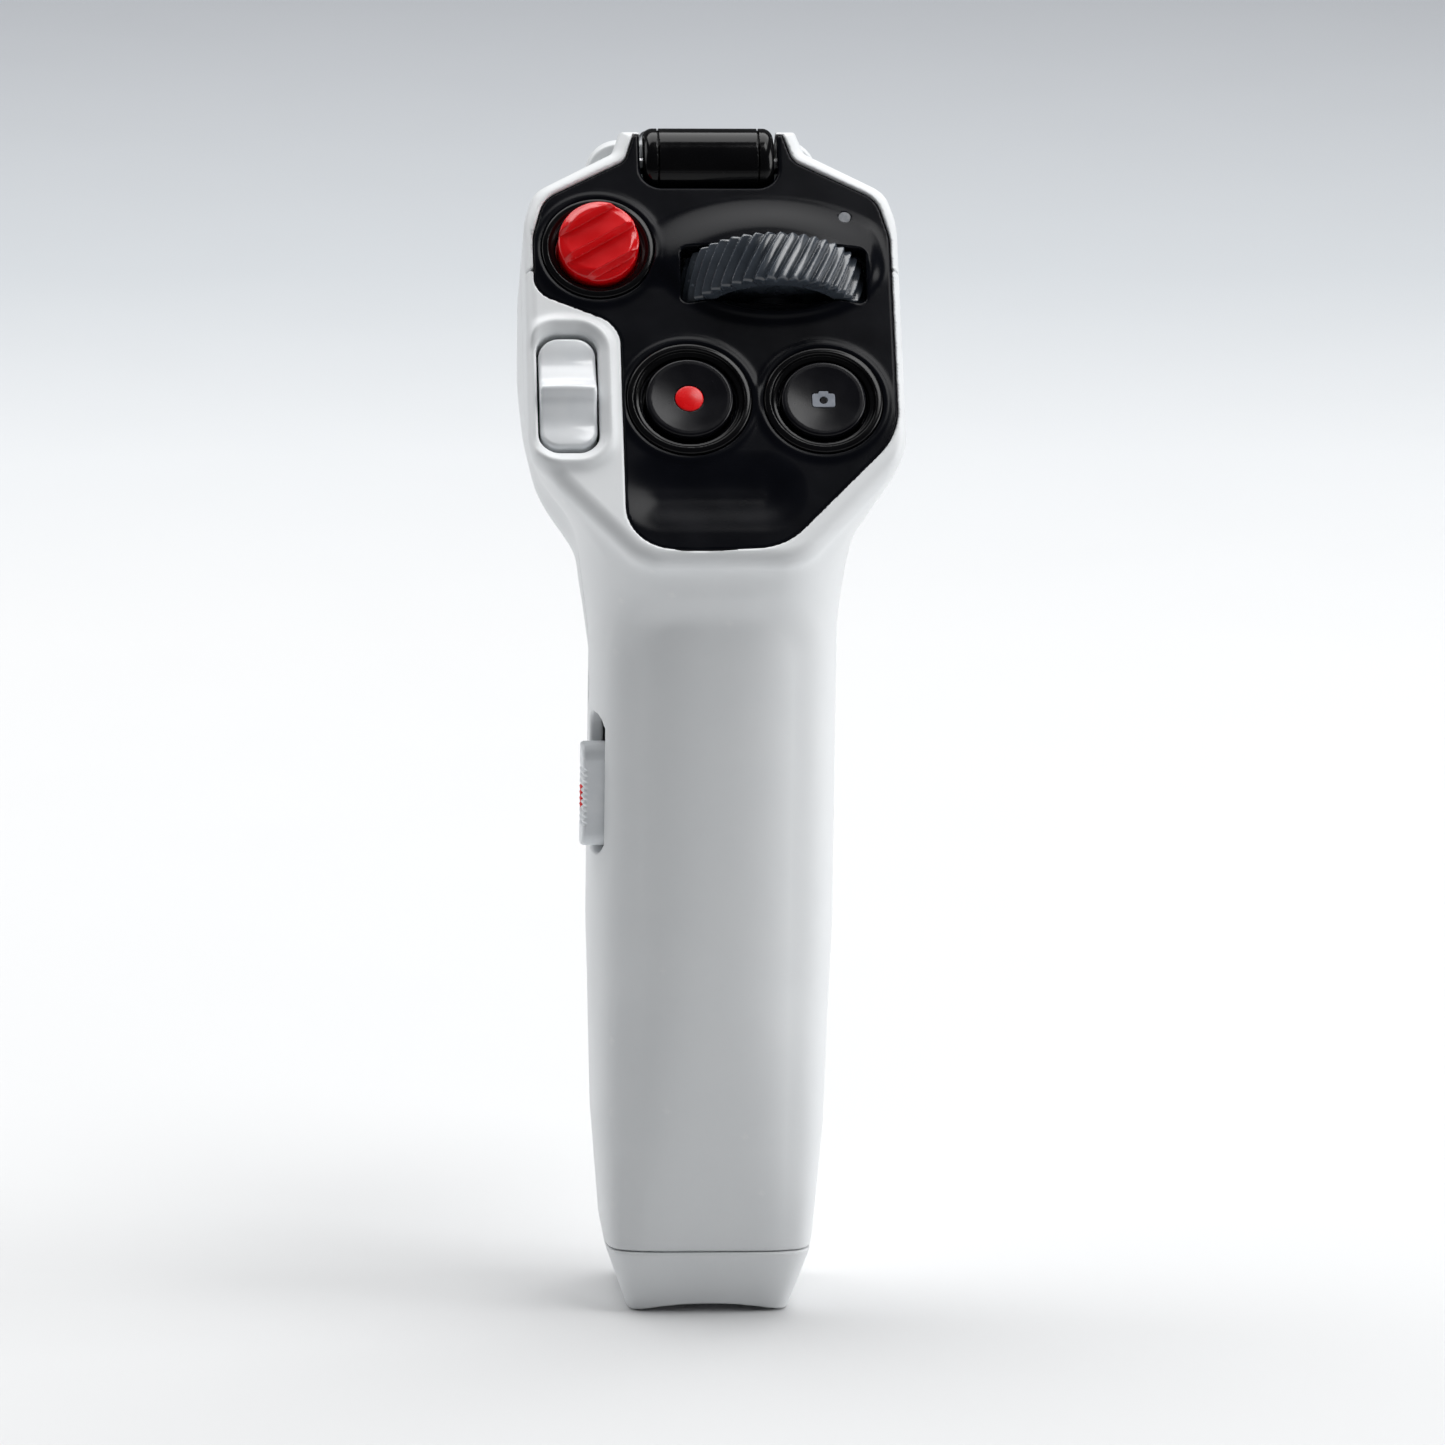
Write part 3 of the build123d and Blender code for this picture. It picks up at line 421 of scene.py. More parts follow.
def outside(x, y, z):
    """The whole casing's outside, with nothing cut from it."""
    u, v, w = x, up_face(y, z), off_face(y, z)
    palm = round_rect(x, z - palm_top + palm_long, palm_half, palm_long, 11.0)
    hollow = palm_hollow * ease(-palm / 5.5) * ease(-y / 9)
    column = grip(x, y, z) + hollow
    column = round_and(round_and(column, w + 3.4, 4.0), z - 128, 4.0)
    head = round_and(head_edge(u, v), -(w + head_thick), 5.0)
    head = round_and(head, head_side(y, z), 4.5)
    forward = ease((y - parting_y) / 12.0)
    flank = rear_flank(z) * (1 - forward) + front_flank(z) * forward
    head = round_and(head, np.abs(x) - flank, 3.0)
    both = round_or(head, column, 4.5)
    both = round_and(both, w, 2.4)
    # the raised surround of the rocker
    ring = round_rect(u - rocker_u, v - rocker_v, window_across, window_along, 3.4)
    swell = surround_rise * np.exp(-(((ring - 1.75) / 1.0) ** 2)) * ease((w + 5) / 3)
    swell = swell * ease((panel_edge(u, v) - 0.2) / 1.6)
    return both - swell * ease((28.6 - np.abs(x)) / 1.6)


def bay(x, y, z):
    return round_and(bay_side(y, z), np.abs(x) - bay_half, 0.5)


def hinge_notch(x, y, z):
    v, w = up_face(y, z), off_face(y, z)
    barrel = np.hypot(y - hinge_y, z - hinge_z) - notch_radius
    front = np.maximum(hinge_y - y, hinge_z - notch_radius - z)
    over = np.maximum(-(w + 4.4), 56.5 - v)
    return np.maximum(np.minimum(np.minimum(barrel, front), over), np.abs(x) - notch_half)


def walls(x, y, z):
    """The casing as a wall, with the trigger's bay and the hinge's notch let into it."""
    body, pull_bay, notch = outside(x, y, z), bay(x, y, z), hinge_notch(x, y, z)
    room = np.maximum(body + casing_wall, off_face(y, z) + panel_room)
    room = np.maximum(room, np.maximum(casing_wall - pull_bay, casing_wall - notch))
    return cut(cut(cut(body, pull_bay, 0.5), notch, 0.3), room, 0.15)


def panel_seat(x, y, z):
    v, w = up_face(y, z), off_face(y, z)
    edge = panel_edge(x, v)
    seat = np.maximum(edge - 0.12, -(w + panel_back))
    return np.minimum(seat, np.maximum(edge + ledge_reach, -(w + ledge_depth)))


def front_side(y, z):
    """Distance into the front half of the casing: forward of the parting and behind the face."""
    return np.maximum(parting_y - y, off_face(y, z) + parting_depth)


def rear_shell(x, y, z):
    v, w = up_face(y, z), off_face(y, z)
    solid = cut(walls(x, y, z), panel_seat(x, y, z), 0.3)
    solid = round_and(solid, parting_gap - front_side(y, z), 0.3)
    solid = round_and(solid, v - cover_seam + parting_gap, 0.3)
    solid = round_and(solid, cap_top + parting_gap - z, 0.3)
    window = round_rect(x - rocker_u, v - rocker_v, window_across, window_along, 3.2)
    solid = cut(solid, np.maximum(window, -(w + window_depth)), 0.5)
    slot_z, slot_long = (slot_low + slot_high) / 2, (slot_high - slot_low) / 2
    slot = round_rect(y - slider_y, z - slot_z, slot_half, slot_long, 2.6)
    solid = cut(solid, np.maximum(slot, x - left_inside), 0.45)
    pane = round_rect(y - pane_y, z - pane_z, 1.1, 2.3, 0.9)
    return cut(solid, np.maximum(pane, x - left_inside), 0.2)


rear_piece = skin(
    "rear_casing", rear_shell, (-30.5, -24, 9), (30.5, 22, 166), 0.45, "housing",
    ["rear_shell"],
)
rear_piece.data.materials.append(white_plastic)

# ---- front shell -----------------------------------------------------------------------------
# The half that the fingers close on: the grip's front, the cheeks beside the trigger and the bay
# that the trigger swings in. White ABS again, drawn up to the rear shell by four screws.


screw_across, screw_heights = 12.4, (26.0, 106.0)
head_hole, shank_hole, head_seat = 2.0, 0.95, 11.0


def front_shell(x, y, z):
    solid = round_and(walls(x, y, z), parting_gap + front_side(y, z), 0.3)
    solid = round_and(solid, cap_top + parting_gap - z, 0.3)
    for screw_x in (-screw_across, screw_across):
        for height in screw_heights:
            across = np.hypot(x - screw_x, z - height)
            solid = cut(solid, np.maximum(across - head_hole, head_seat - y), 0.2)
            solid = cut(solid, across - shank_hole, 0.1)
    return solid


front_piece = skin(
    "front_casing", front_shell, (-30.5, 1, 9), (30.5, 39, 175), 0.45, "housing",
    ["front_shell"],
)
front_piece.data.materials.append(white_plastic)

# ---- head cover ------------------------------------------------------------------------------
# A separate white moulding over the top of the head. It carries the antenna hinge's ears and
# hides the aerial feed; a fine seam shows where it meets the rear shell.


def head_cover(x, y, z):
    solid = cut(walls(x, y, z), panel_seat(x, y, z), 0.3)
    solid = round_and(solid, parting_gap - front_side(y, z), 0.3)
    return round_and(solid, cover_seam + parting_gap - up_face(y, z), 0.3)


cover_piece = skin(
    "head_cover_shell", head_cover, (-30.5, 7, 144), (30.5, 39, 176), 0.4, "housing",
    ["head_cover"],
)
cover_piece.data.materials.append(white_plastic)

# ---- control panel ---------------------------------------------------------------------------
# One black moulded plate with every opening in it, let into the rim a third of a millimetre low.
# Black ABS, satin; it swells into a fender over the wheel and dips where the thumb rests.
# Five posts on its back carry the control board.
black_satin = moulded(
    "black_panel", (0.0022, 0.0025, 0.004), (0.0026, 0.003, 0.0048), (0.0031, 0.0035, 0.0056),
    (0.006, 0.007, 0.010), (0.19, 0.24), 0.22, 0.002, patch=6.0, gloss=0.1,
)
buttons = {}
for key, cap_size, ring_size in (("record", 13.0, 18.5), ("photo", 12.5, 17.6), ("red", 12.0, 16.8)):
    bx, by, bz = middle(key + "_ring")
    buttons[key] = (bx, up_face(by, bz), cap_size / 2, ring_size / 2)
wheel_x, wheel_y, wheel_z = middle("thumb_wheel")
wheel_v = up_face(wheel_y, wheel_z)
light_x, light_y, light_z = middle("status_light")
light_v = up_face(light_y, light_z)
light_hole = 0.93
slot_across, slot_along = 13.85, 4.3
fender_rise, lip_rise, fender_end = 2.1, 0.9, 26.4
rest_u, rest_v, rest_across, rest_along, rest_dip = -1.3, 8.9, 12.8, 5.4, 0.8
board_posts = ((-10.4, 35.6), (5.8, 35.2), (22.4, 36.4), (5.8, 13.4), (-10.6, 13.4))


def control_panel(u, v, w):
    slot = round_rect(u - wheel_x, v - wheel_v, slot_across, slot_along, 1.2)
    above = ease((v - wheel_v + 2) / 5)
    hood = np.hypot((u - wheel_x + 1.0) / 20.0, (v - wheel_v) / 12.4)
    fender = fender_rise * above * ease((1.14 - hood) / 0.62)
    lip = np.hypot((u - wheel_x) / 15.5, (v - wheel_v - 3.0) / 9.6)
    fender = fender + lip_rise * (1 - above) * np.exp(-(((lip - 0.98) / 0.09) ** 2))
    fender = fender * ease((fender_end - u) / 3.0)
    rest = round_rect(u - rest_u, v - rest_v, rest_across, rest_along, 5.3)
    dip = rest_dip * ease(0.25 - rest / 6.4)
    high = -panel_sink + fender - dip
    for bu, bv, _cap, ring in buttons.values():
        around = np.hypot(u - bu, v - bv) - ring
        high = high + 0.22 * np.exp(-(((around - 0.65) / 0.7) ** 2))
    plate = round_and(round_and(panel_edge(u, v), w - high, 0.3), -(w + panel_back), 0.2)
    for pu, pv in board_posts:
        across = np.hypot(u - pu, v - pv)
        post = np.maximum(across - 1.8, slab(w, -9.0, -1.5))
        plate = cut(np.minimum(plate, post), np.maximum(across - 0.92, w + 3.8), 0.1)
    for bu, bv, cap, ring in buttons.values():
        across = np.hypot(u - bu, v - bv)
        plate = cut(plate, across - cap - 0.3, 0.2)
        plate = cut(plate, np.maximum(across - ring - 0.05, -(w + 1.1)), 0.12)
    plate = cut(plate, slot, 0.35)
    plate = cut(plate, np.hypot(u - light_x, v - light_v) - light_hole, 0.1)
    notch = round_rect(u, v - 60.5 - 15, 10.3, 15, 3.2)
    return cut(plate, notch, 0.5)


panel_piece = skin(
    "panel_plate", control_panel, (-27.5, -1, -9.5), (27.5, 70.5, 2.5), 0.3, "housing",
    ["control_panel"], face_place,
)
panel_piece.data.materials.append(black_satin)

# ---- button rings ----------------------------------------------------------------------------
# Three trim rings pressed into seats in the panel, one round each button.
# Gloss black, each with a raised lip and a step down to the button.
black_gloss = moulded(
    "black_gloss", (0.002, 0.002, 0.0025), (0.0025, 0.0025, 0.003), (0.003, 0.003, 0.0035),
    (0.006, 0.006, 0.007), (0.11, 0.16), 0.6, 0.001, patch=5.0, gloss=0.2,
)


def on_face(u, v):
    """The placing of a piece drawn square to the control face at u across and v up it."""
    return face_axes, face_axes @ np.array([u, v, 0.0]) + face_place[1]


for key, (bu, bv, _cap, ring) in buttons.items():
    def trim_ring(u, v, w, ring=ring):
        across = np.hypot(u, v)
        lip = 0.12 * np.cos((across - ring + 0.8) * 2.2)
        high = 0.2 + lip - 0.45 * ease((ring - 0.9 - across) / 0.5)
        band = slab(across, ring - 2.0, ring)
        return round_and(round_and(band, w - high, 0.25), -(w + 1.1), 0.1)

    piece = skin(
        key + "_trim", trim_ring, (-10, -10, -1.5), (10, 10, 1), 0.16, "housing",
        [key + "_ring"], on_face(bu, bv),
    )
    piece.data.materials.append(black_gloss)

# ---- record and photo buttons ----------------------------------------------------------------
# Two round keys with dished tops and a flange that keeps them under the panel; black ABS, satin.
# The record key holds a domed red dot, the photo key a printed-grey inlay shaped like a camera.
button_black = moulded(
    "button_black", (0.003, 0.003, 0.0045), (0.0038, 0.0038, 0.0055), (0.0046, 0.0046, 0.0066),
    (0.009, 0.009, 0.012), (0.2, 0.27), 0.18, 0.002, patch=4.0, gloss=0.2,
)
dot_radius, flange_reach, flange_top, flange_foot = 2.1, 1.3, -2.6, -3.5


def camera_shape(u, v):
    body = round_rect(u, v + 0.12, 1.7, 1.13, 0.42)
    hump = round_rect(u, v - 1.05, 0.72, 0.36, 0.2)
    lens = np.hypot(u, v + 0.1) - 0.62
    return np.maximum(np.minimum(body, hump), -lens)


for key in ("record", "photo"):
    bu, bv, cap, _ring = buttons[key]

    def round_key(u, v, w, cap=cap, key=key):
        across = np.hypot(u, v)
        high = 0.5 - 0.45 * (1 - np.clip(across / (cap - 0.9), 0, 1) ** 2)
        crown = round_and(round_and(across - cap, w - high, 0.45), -(w + 2.7), 0.1)
        flange = round_and(across - cap - flange_reach, slab(w, flange_foot, flange_top), 0.2)
        solid = np.minimum(crown, flange)
        if key == "record":
            return cut(solid, np.maximum(across - dot_radius - 0.08, -(w + 0.15)), 0.08)
        return cut(solid, np.maximum(camera_shape(u, v) - 0.06, -(w + 0.15)), 0.05)

    piece = skin(
        key + "_key_cap", round_key, (-8.2, -8.2, -4), (8.2, 8.2, 1), 0.15,
        key + "_key", [key + "_button"], on_face(bu, bv),
    )
    piece.data.materials.append(button_black)

dot_red = moulded(
    "record_red", (0.74, 0.002, 0.004), (0.78, 0.003, 0.005), (0.82, 0.004, 0.006),
    (0.88, 0.02, 0.03), (0.22, 0.32), 0.2, 0.002, patch=2.0, gloss=0.35,
)


dome_radius, dome_rise = 9.5, 0.4


def record_dot(u, v, w):
    across = np.hypot(u, v)
    dome = np.hypot(across, w + dome_radius - dome_rise) - dome_radius
    return round_and(dome, np.maximum(across - dot_radius, -(w + 0.1)), 0.15)


bu, bv = buttons["record"][:2]
dot_piece = skin(
    "record_inlay", record_dot, (-2.6, -2.6, -0.4), (2.6, 2.6, 0.9), 0.08, "record_key",
    ["record_dot"], on_face(bu, bv),
)
dot_piece.data.materials.append(dot_red)

icon_grey = moulded(
    "icon_grey", (0.17, 0.19, 0.23), (0.20, 0.22, 0.26), (0.24, 0.26, 0.30), (0.3, 0.32, 0.36),
    (0.35, 0.5), 0.1, 0.003, patch=1.5,
)


def photo_icon(u, v, w):
    return round_and(camera_shape(u, v), slab(w, -0.1, 0.17), 0.05)


bu, bv = buttons["photo"][:2]
icon_piece = skin(
    "photo_inlay", photo_icon, (-2.2, -1.8, -0.3), (2.2, 1.8, 0.4), 0.06, "photo_key",
    ["photo_icon"], on_face(bu, bv),
)
icon_piece.data.materials.append(icon_grey)

# ---- red key ---------------------------------------------------------------------------------
# The tall red press key that fires. Gloss red ABS, its top cut in slanted saw-tooth steps for grip,
# with a flange under the panel and a plunger onto its switch.
signal_red = moulded(
    "red_plastic", (0.64, 0.001, 0.003), (0.68, 0.0015, 0.004), (0.72, 0.002, 0.005),
    (0.84, 0.02, 0.03), (0.18, 0.25), 0.16, 0.002, patch=3.0, coat=0.25, gloss=0.35,
)
bu, bv, red_cap, _ring = buttons["red"]
slant = math.radians(29.0)
tooth_pitch, tooth_rise, tooth_front = 4.0, 1.2, 0.16


def red_button(u, v, w):
    across = np.hypot(u, v)
    along = v * math.cos(slant) - u * math.sin(slant)
    tooth = np.mod(along + 0.6, tooth_pitch) / tooth_pitch
    step = tooth_rise * np.minimum((1 - tooth) / (1 - tooth_front), tooth / tooth_front)
    step = step * (0.4 + 0.6 * ease((red_cap - across) / 1.4))
    high = 2.1 + 0.22 * v + step
    crown = round_and(round_and(across - red_cap, w - high, 0.35), -(w + 2.7), 0.1)
    flange = round_and(across - red_cap - flange_reach, slab(w, flange_foot, flange_top), 0.2)
    return np.minimum(crown, flange)


red_piece = skin(
    "red_key_cap", red_button, (-7.6, -7.6, -4), (7.6, 7.6, 5.2), 0.15, "red_key",
    ["red_button"], on_face(bu, bv),
)
red_piece.data.materials.append(signal_red)

# ---- thumb wheel -----------------------------------------------------------------------------
# A ribbed wheel on a cross axle, its upper third proud of the panel. Dark grey nylon, semi-gloss.
# The ribs run askew across the rim; both faces are hollowed round the hub.
wheel_grey = moulded(
    "wheel_grey", (0.030, 0.037, 0.048), (0.042, 0.051, 0.064), (0.055, 0.066, 0.082),
    (0.12, 0.14, 0.17), (0.16, 0.28), 0.25, 0.003, patch=4.0, coat=0.5,
)
wheel_size, half_width, hub_hole = 14.5, 4.0, 1.56
rib_count, rib_depth, rib_lean = 48, 0.85, math.radians(28.0)
rib_back = 0.68


def thumb_wheel(u, t, s):
    """u and t lie in the wheel's plane and s along its axle."""
    across = np.hypot(u, t)
    turn = np.arctan2(t, u) - s * math.tan(rib_lean) / wheel_size
    wave = np.mod(turn * rib_count / (2 * math.pi), 1.0)
    groove = np.maximum(1 - wave / rib_back, (wave - rib_back) / (1 - rib_back)) ** 1.2
    crown = 0.35 * (np.abs(s) / half_width) ** 3
    rim = wheel_size - rib_depth * groove
    tyre = round_and((across - rim + crown) * 0.85, np.abs(s) - half_width, 0.45)
    dish = round_and(slab(across, 4.0, wheel_size - 3.0), 1.8 - np.abs(s), 0.3)
    solid = cut(tyre, dish, 0.2)
    return cut(solid, across - hub_hole, 0.15)


wheel_place = (np.stack([face_axes[:, 0], face_axes[:, 2], -face_axes[:, 1]], 1),
               np.array([wheel_x, wheel_y, wheel_z]))
wheel_piece = skin(
    "wheel_tyre", thumb_wheel, (-15, -15, -4.4), (15, 15, 4.4), 0.2, "wheel",
    ["thumb_wheel"], wheel_place,
)
wheel_piece.data.materials.append(wheel_grey)

# ---- rocker ----------------------------------------------------------------------------------
# The two-way zoom rocker in the white corner of the head. Gloss white ABS, rocking on a cross pin;
# a ridge across the middle tells the thumb where it rests, and each half is slightly hollowed.
rocker_white = moulded(
    "rocker_white", (0.72, 0.745, 0.77), (0.77, 0.79, 0.81), (0.81, 0.825, 0.84), (0.87, 0.875, 0.88),
    (0.16, 0.26), 0.5, 0.002, patch=6.0, coat=0.3,
)
pin_depth, hub_radius, hub_half = 5.6, 1.8, 2.3


def zoom_rocker(u, v, w):
    hollows = 0.55 * np.exp(-(((np.abs(v) - 5.2) / 2.2) ** 2))
    ridge = 1.25 * np.exp(-((v / 1.25) ** 2))
    high = 0.55 - hollows + ridge
    high = high - 0.018 * u**2 - 0.006 * v**2
    cap = round_and(round_rect(u, v, 4.25, 9.2, 3.0), (w - high) * 0.85, 0.6)
    cap = round_and(cap, -(w + 3.2), 0.3)
    stem = np.maximum(slab(v, -hub_radius, hub_radius), slab(w, -pin_depth, -2.0))
    stem = np.maximum(slab(u, -hub_half, hub_half), stem)
    pin = np.hypot(v, w + pin_depth)
    hub = np.maximum(pin - hub_radius, np.abs(u) - hub_half)
    return cut(np.minimum(cap, np.minimum(stem, hub)), pin - 0.8, 0.05)


rocker_piece = skin(
    "rocker_cap", zoom_rocker, (-4.8, -9.8, -8), (4.8, 9.8, 2.4), 0.2, "rocker",
    ["zoom_rocker"], on_face(rocker_u, rocker_v),
)
rocker_piece.data.materials.append(rocker_white)

# ---- trigger ---------------------------------------------------------------------------------
# The wide lever that the forefinger pulls, hung from a steel pin at its top. Dark grey soft-touch
# rubber over nylon, its face a shallow curve with rows of fine grip lines; a boss on its back
# holds the magnet that the sensor in the grip reads.
trigger_grey = moulded(
    "trigger_grey", (0.035, 0.038, 0.043), (0.045, 0.048, 0.054), (0.058, 0.062, 0.068),
    (0.09, 0.095, 0.10), (0.55, 0.7), 0.12, 0.02, patch=5.0,
)
pull_y, pull_z = middle("trigger_pin")[1:]


def arc(start, through, end, count=25):
    """Points of the circle's arc through three points."""
    (ax, ay), (bx, by), (cx, cy) = start, through, end
    d = 2 * (ax * (by - cy) + bx * (cy - ay) + cx * (ay - by))
    aa, bb, cc = ax * ax + ay * ay, bx * bx + by * by, cx * cx + cy * cy
    ox = (aa * (by - cy) + bb * (cy - ay) + cc * (ay - by)) / d
    oy = (aa * (cx - bx) + bb * (ax - cx) + cc * (bx - ax)) / d
    a0, a1 = math.atan2(ay - oy, ax - ox), math.atan2(cy - oy, cx - ox)
    sweep = (a1 - a0 + math.pi) % (2 * math.pi) - math.pi
    radius = math.hypot(ax - ox, ay - oy)
    return [(ox + radius * math.cos(a0 + sweep * t), oy + radius * math.sin(a0 + sweep * t))
            for t in np.linspace(0, 1, count)]


lever_face = arc((36.8, 138.2), (31.8, 126.5), (28.8, 111.8))
lever = lever_face + arc((26.2, 112.6), (29.2, 127.0), (34.2, 138.2))
magnet_z, magnet_hole = 122.0, 1.53
coil_from, coil_to, coil_front = 9.3, 14.2, 33.6
pad_half, eye_radius, eye_half = 21.1, 2.2, 9.0
lever_side = outline(lever, [0] * len(lever), margin=5.0, step=0.1)


def trigger(x, y, z):
    lines = 0.12 * (0.5 + 0.5 * np.cos(z * 2 * math.pi / 1.6)) * ease((15 - np.abs(x)) / 1.5)
    lines = lines * ease((z - 114.5) / 2) * ease((133 - z) / 2)
    plate = round_and(lever_side(y, z) + lines * ease((y - 27.5) / 1.0), np.abs(x) - pad_half, 0.7)
    pin, magnet = np.hypot(y - pull_y, z - pull_z), np.hypot(x, z - magnet_z)
    eye = round_and(pin - eye_radius, np.abs(x) - eye_half, 0.3)
    solid = round_or(plate, eye, 0.3)
    coil = np.maximum(pin - 1.9, np.maximum(slab(x, coil_from, coil_to), y - coil_front))
    boss = np.maximum(magnet - 2.6, slab(y, 27.4, 30.4))
    solid = np.minimum(cut(solid, coil, 0.1), boss)
    solid = cut(solid, np.maximum(magnet - magnet_hole, y - 29.0), 0.1)
    return cut(solid, pin - 1.06, 0.1)


trigger_piece = skin(
    "trigger_lever_pad", trigger, (-22, 25, 111), (22, 38, 139.5), 0.3, "trigger_lever",
    ["trigger"],
)
trigger_piece.data.materials.append(trigger_grey)

# ---- antenna arm and paddle ------------------------------------------------------------------
# The fold-out aerial at the top of the head. Its hinge barrel and arm are gloss black glass-filled
# nylon turning on a steel pin; the flat paddle on the end is white ABS with a lid closing its back
# over the aerial. Folded, it lies against the front of the head.


barrel_radius, barrel_half, barrel_seam = 5.6, 9.85, 7.5
tail_end = side("antenna_lid", 1, 0)


def antenna_arm(x, y, z):
    pin = np.hypot(y - hinge_y, z - hinge_z)
    barrel = pin - barrel_radius
    taper = 0.12 * np.maximum(y - hinge_y - 3, 0)
    tail = np.maximum(hinge_z - 2.2 - z, z - hinge_z - 4.4 + taper)
    tail = np.maximum(np.maximum(hinge_y - y, y - tail_end), tail)
    solid = round_and(round_or(barrel, tail, 0.6), np.abs(x) - barrel_half, 1.6)
    seam = np.abs(np.abs(x) - barrel_seam) - 0.1
    solid = cut(solid, np.maximum(seam, -(barrel + 0.5)), 0.08)
    return cut(solid, pin - 1.3, 0.1)


arm_piece = skin(
    "hinge_arm", antenna_arm, (-10.4, hinge_y - 6.2, hinge_z - 6.2), (10.4, 38.2, hinge_z + 6.2), 0.2,
    "antenna", ["antenna_arm"],
)
arm_piece.data.materials.append(black_gloss)
paddle_z = middle("antenna_paddle")[2]
paddle_half, paddle_tall, room_half, room_tall = 17.5, 11.0, 16.3, 7.8
lid_z = middle("antenna_lid")[2]
paddle_back = side("antenna_paddle", 1, 0)
paddle_front = side("antenna_paddle", 1, 1)


def antenna_paddle(x, y, z):
    edge = round_rect(x, z - paddle_z, paddle_half, paddle_tall, 5.0)
    solid = round_and(round_and(edge, y - paddle_front, 1.7), paddle_back - y, 0.5)
    room = round_rect(x, z - lid_z, room_half, room_tall, 3.8)
    room = np.maximum(room, y - paddle_front + 1.2)
    inset = np.abs(round_rect(x, z - paddle_z, 13.6, 7.2, 3.0)) - 0.22
    inset = np.maximum(inset, paddle_front - 0.25 - y)
    return cut(cut(solid, room, 0.15), inset, 0.1)


paddle_piece = skin(
    "aerial_paddle", antenna_paddle, (-18.2, paddle_back - 0.8, paddle_z - 11.8),
    (18.2, paddle_front + 0.6, paddle_z + 11.8), 0.3, "antenna", ["antenna_paddle"],
)
paddle_piece.data.materials.append(white_plastic)

# ---- power slider and side window --------------------------------------------------------------
# A white slider on the left of the grip, pushed up to switch on. Its outer face is cut in fine
# serrations, with a red inlay; above it a smoked window covers the charge light.
slider_white = moulded(
    "slider_white", (0.70, 0.73, 0.755), (0.75, 0.775, 0.80), (0.79, 0.81, 0.83), (0.86, 0.865, 0.87),
    (0.34, 0.46), 0.3, 0.004, patch=4.0,
)
slider_z = (side("power_slider", 2, 0) + side("power_slider", 2, 1)) / 2
slider_out = side("power_slider", 0, 0)
mark_y, mark_z = slider_y - 0.2, middle("slider_mark")[2]
tooth_run = 0.9
slider_half, slider_long = 3.1, 7.7


def serration(z):
    """Rows across the slider's face, from 0 on a crest to 1 in a groove."""
    return 0.5 - 0.5 * np.cos((z - slider_z) * 2 * math.pi / tooth_run)


def power_slider(x, y, z):
    edge = round_rect(y - slider_y, z - slider_z, slider_half, slider_long, 2.2)
    teeth = 0.32 * serration(z) * ease((4.8 - np.abs(z - slider_z)) / 0.4)
    cap = round_and(edge, slider_out - x + teeth + 0.035 * (y - slider_y) ** 2, 0.5)
    cap = round_and(cap, x + 14.3, 0.1)
    plate = np.maximum(round_rect(y - slider_y, z - slider_z, 3.9, 8.5, 1.0), slab(x, -14.45, -13.45))
    tongue = np.maximum(round_rect(y - slider_y, z - slider_z, 0.7, 0.9, 0.1), slab(x, -14.2, -11.8))
    mark = np.maximum(round_rect(y - mark_y, z - mark_z, 1.2, 1.6, 0.1), x - slider_out - 0.5)
    return cut(np.minimum(cap, np.minimum(plate, tongue)), mark, 0.03)


slider_piece = skin(
    "slider_cap", power_slider, (slider_out - 0.4, slider_y - 4.5, slider_z - 9),
    (-11.3, slider_y + 4.5, slider_z + 9), 0.15, "slider", ["power_slider"],
)
slider_piece.data.materials.append(slider_white)


def slider_mark(x, y, z):
    edge = round_rect(y - mark_y, z - mark_z, 1.17, 1.57, 0.1)
    face = np.maximum(slider_out - x + 0.3 * serration(z), x - slider_out - 0.48)
    return round_and(edge, face, 0.05)


mark_piece = skin(
    "slider_inlay", slider_mark, (slider_out - 0.3, slider_y - 1.8, mark_z - 2),
    (slider_out + 0.8, slider_y + 1.4, mark_z + 2), 0.08, "slider", ["slider_mark"],
)
mark_piece.data.materials.append(dot_red)

# ---- inner parts -----------------------------------------------------------------------------
# What the casing hides: cell and cradle, boards, switches, brackets, pins, screws and springs.
# They keep their plain machined or moulded shapes, edges broken, each in its own material.


def metal(name, dark, light, rough, stretch, size=0.8):
    """Bare metal with drawn lines along one way and dulled patches."""
    material, tree, shader, where = blank(name)
    lines = speckle(tree, where, size, 2.0, stretch)
    broad = speckle(tree, where, 5.0, 4.0)
    wire(tree, ramp(tree, broad, [(0.3, dark), (0.7, light)]), shader.inputs["Base Color"])
    wire(tree, spread(tree, lines, rough[0], rough[1]), shader.inputs["Roughness"])
    grain(tree, shader, lines, 0.004, 0.4)
    shader.inputs["Metallic"].default_value = 1.0
    return material


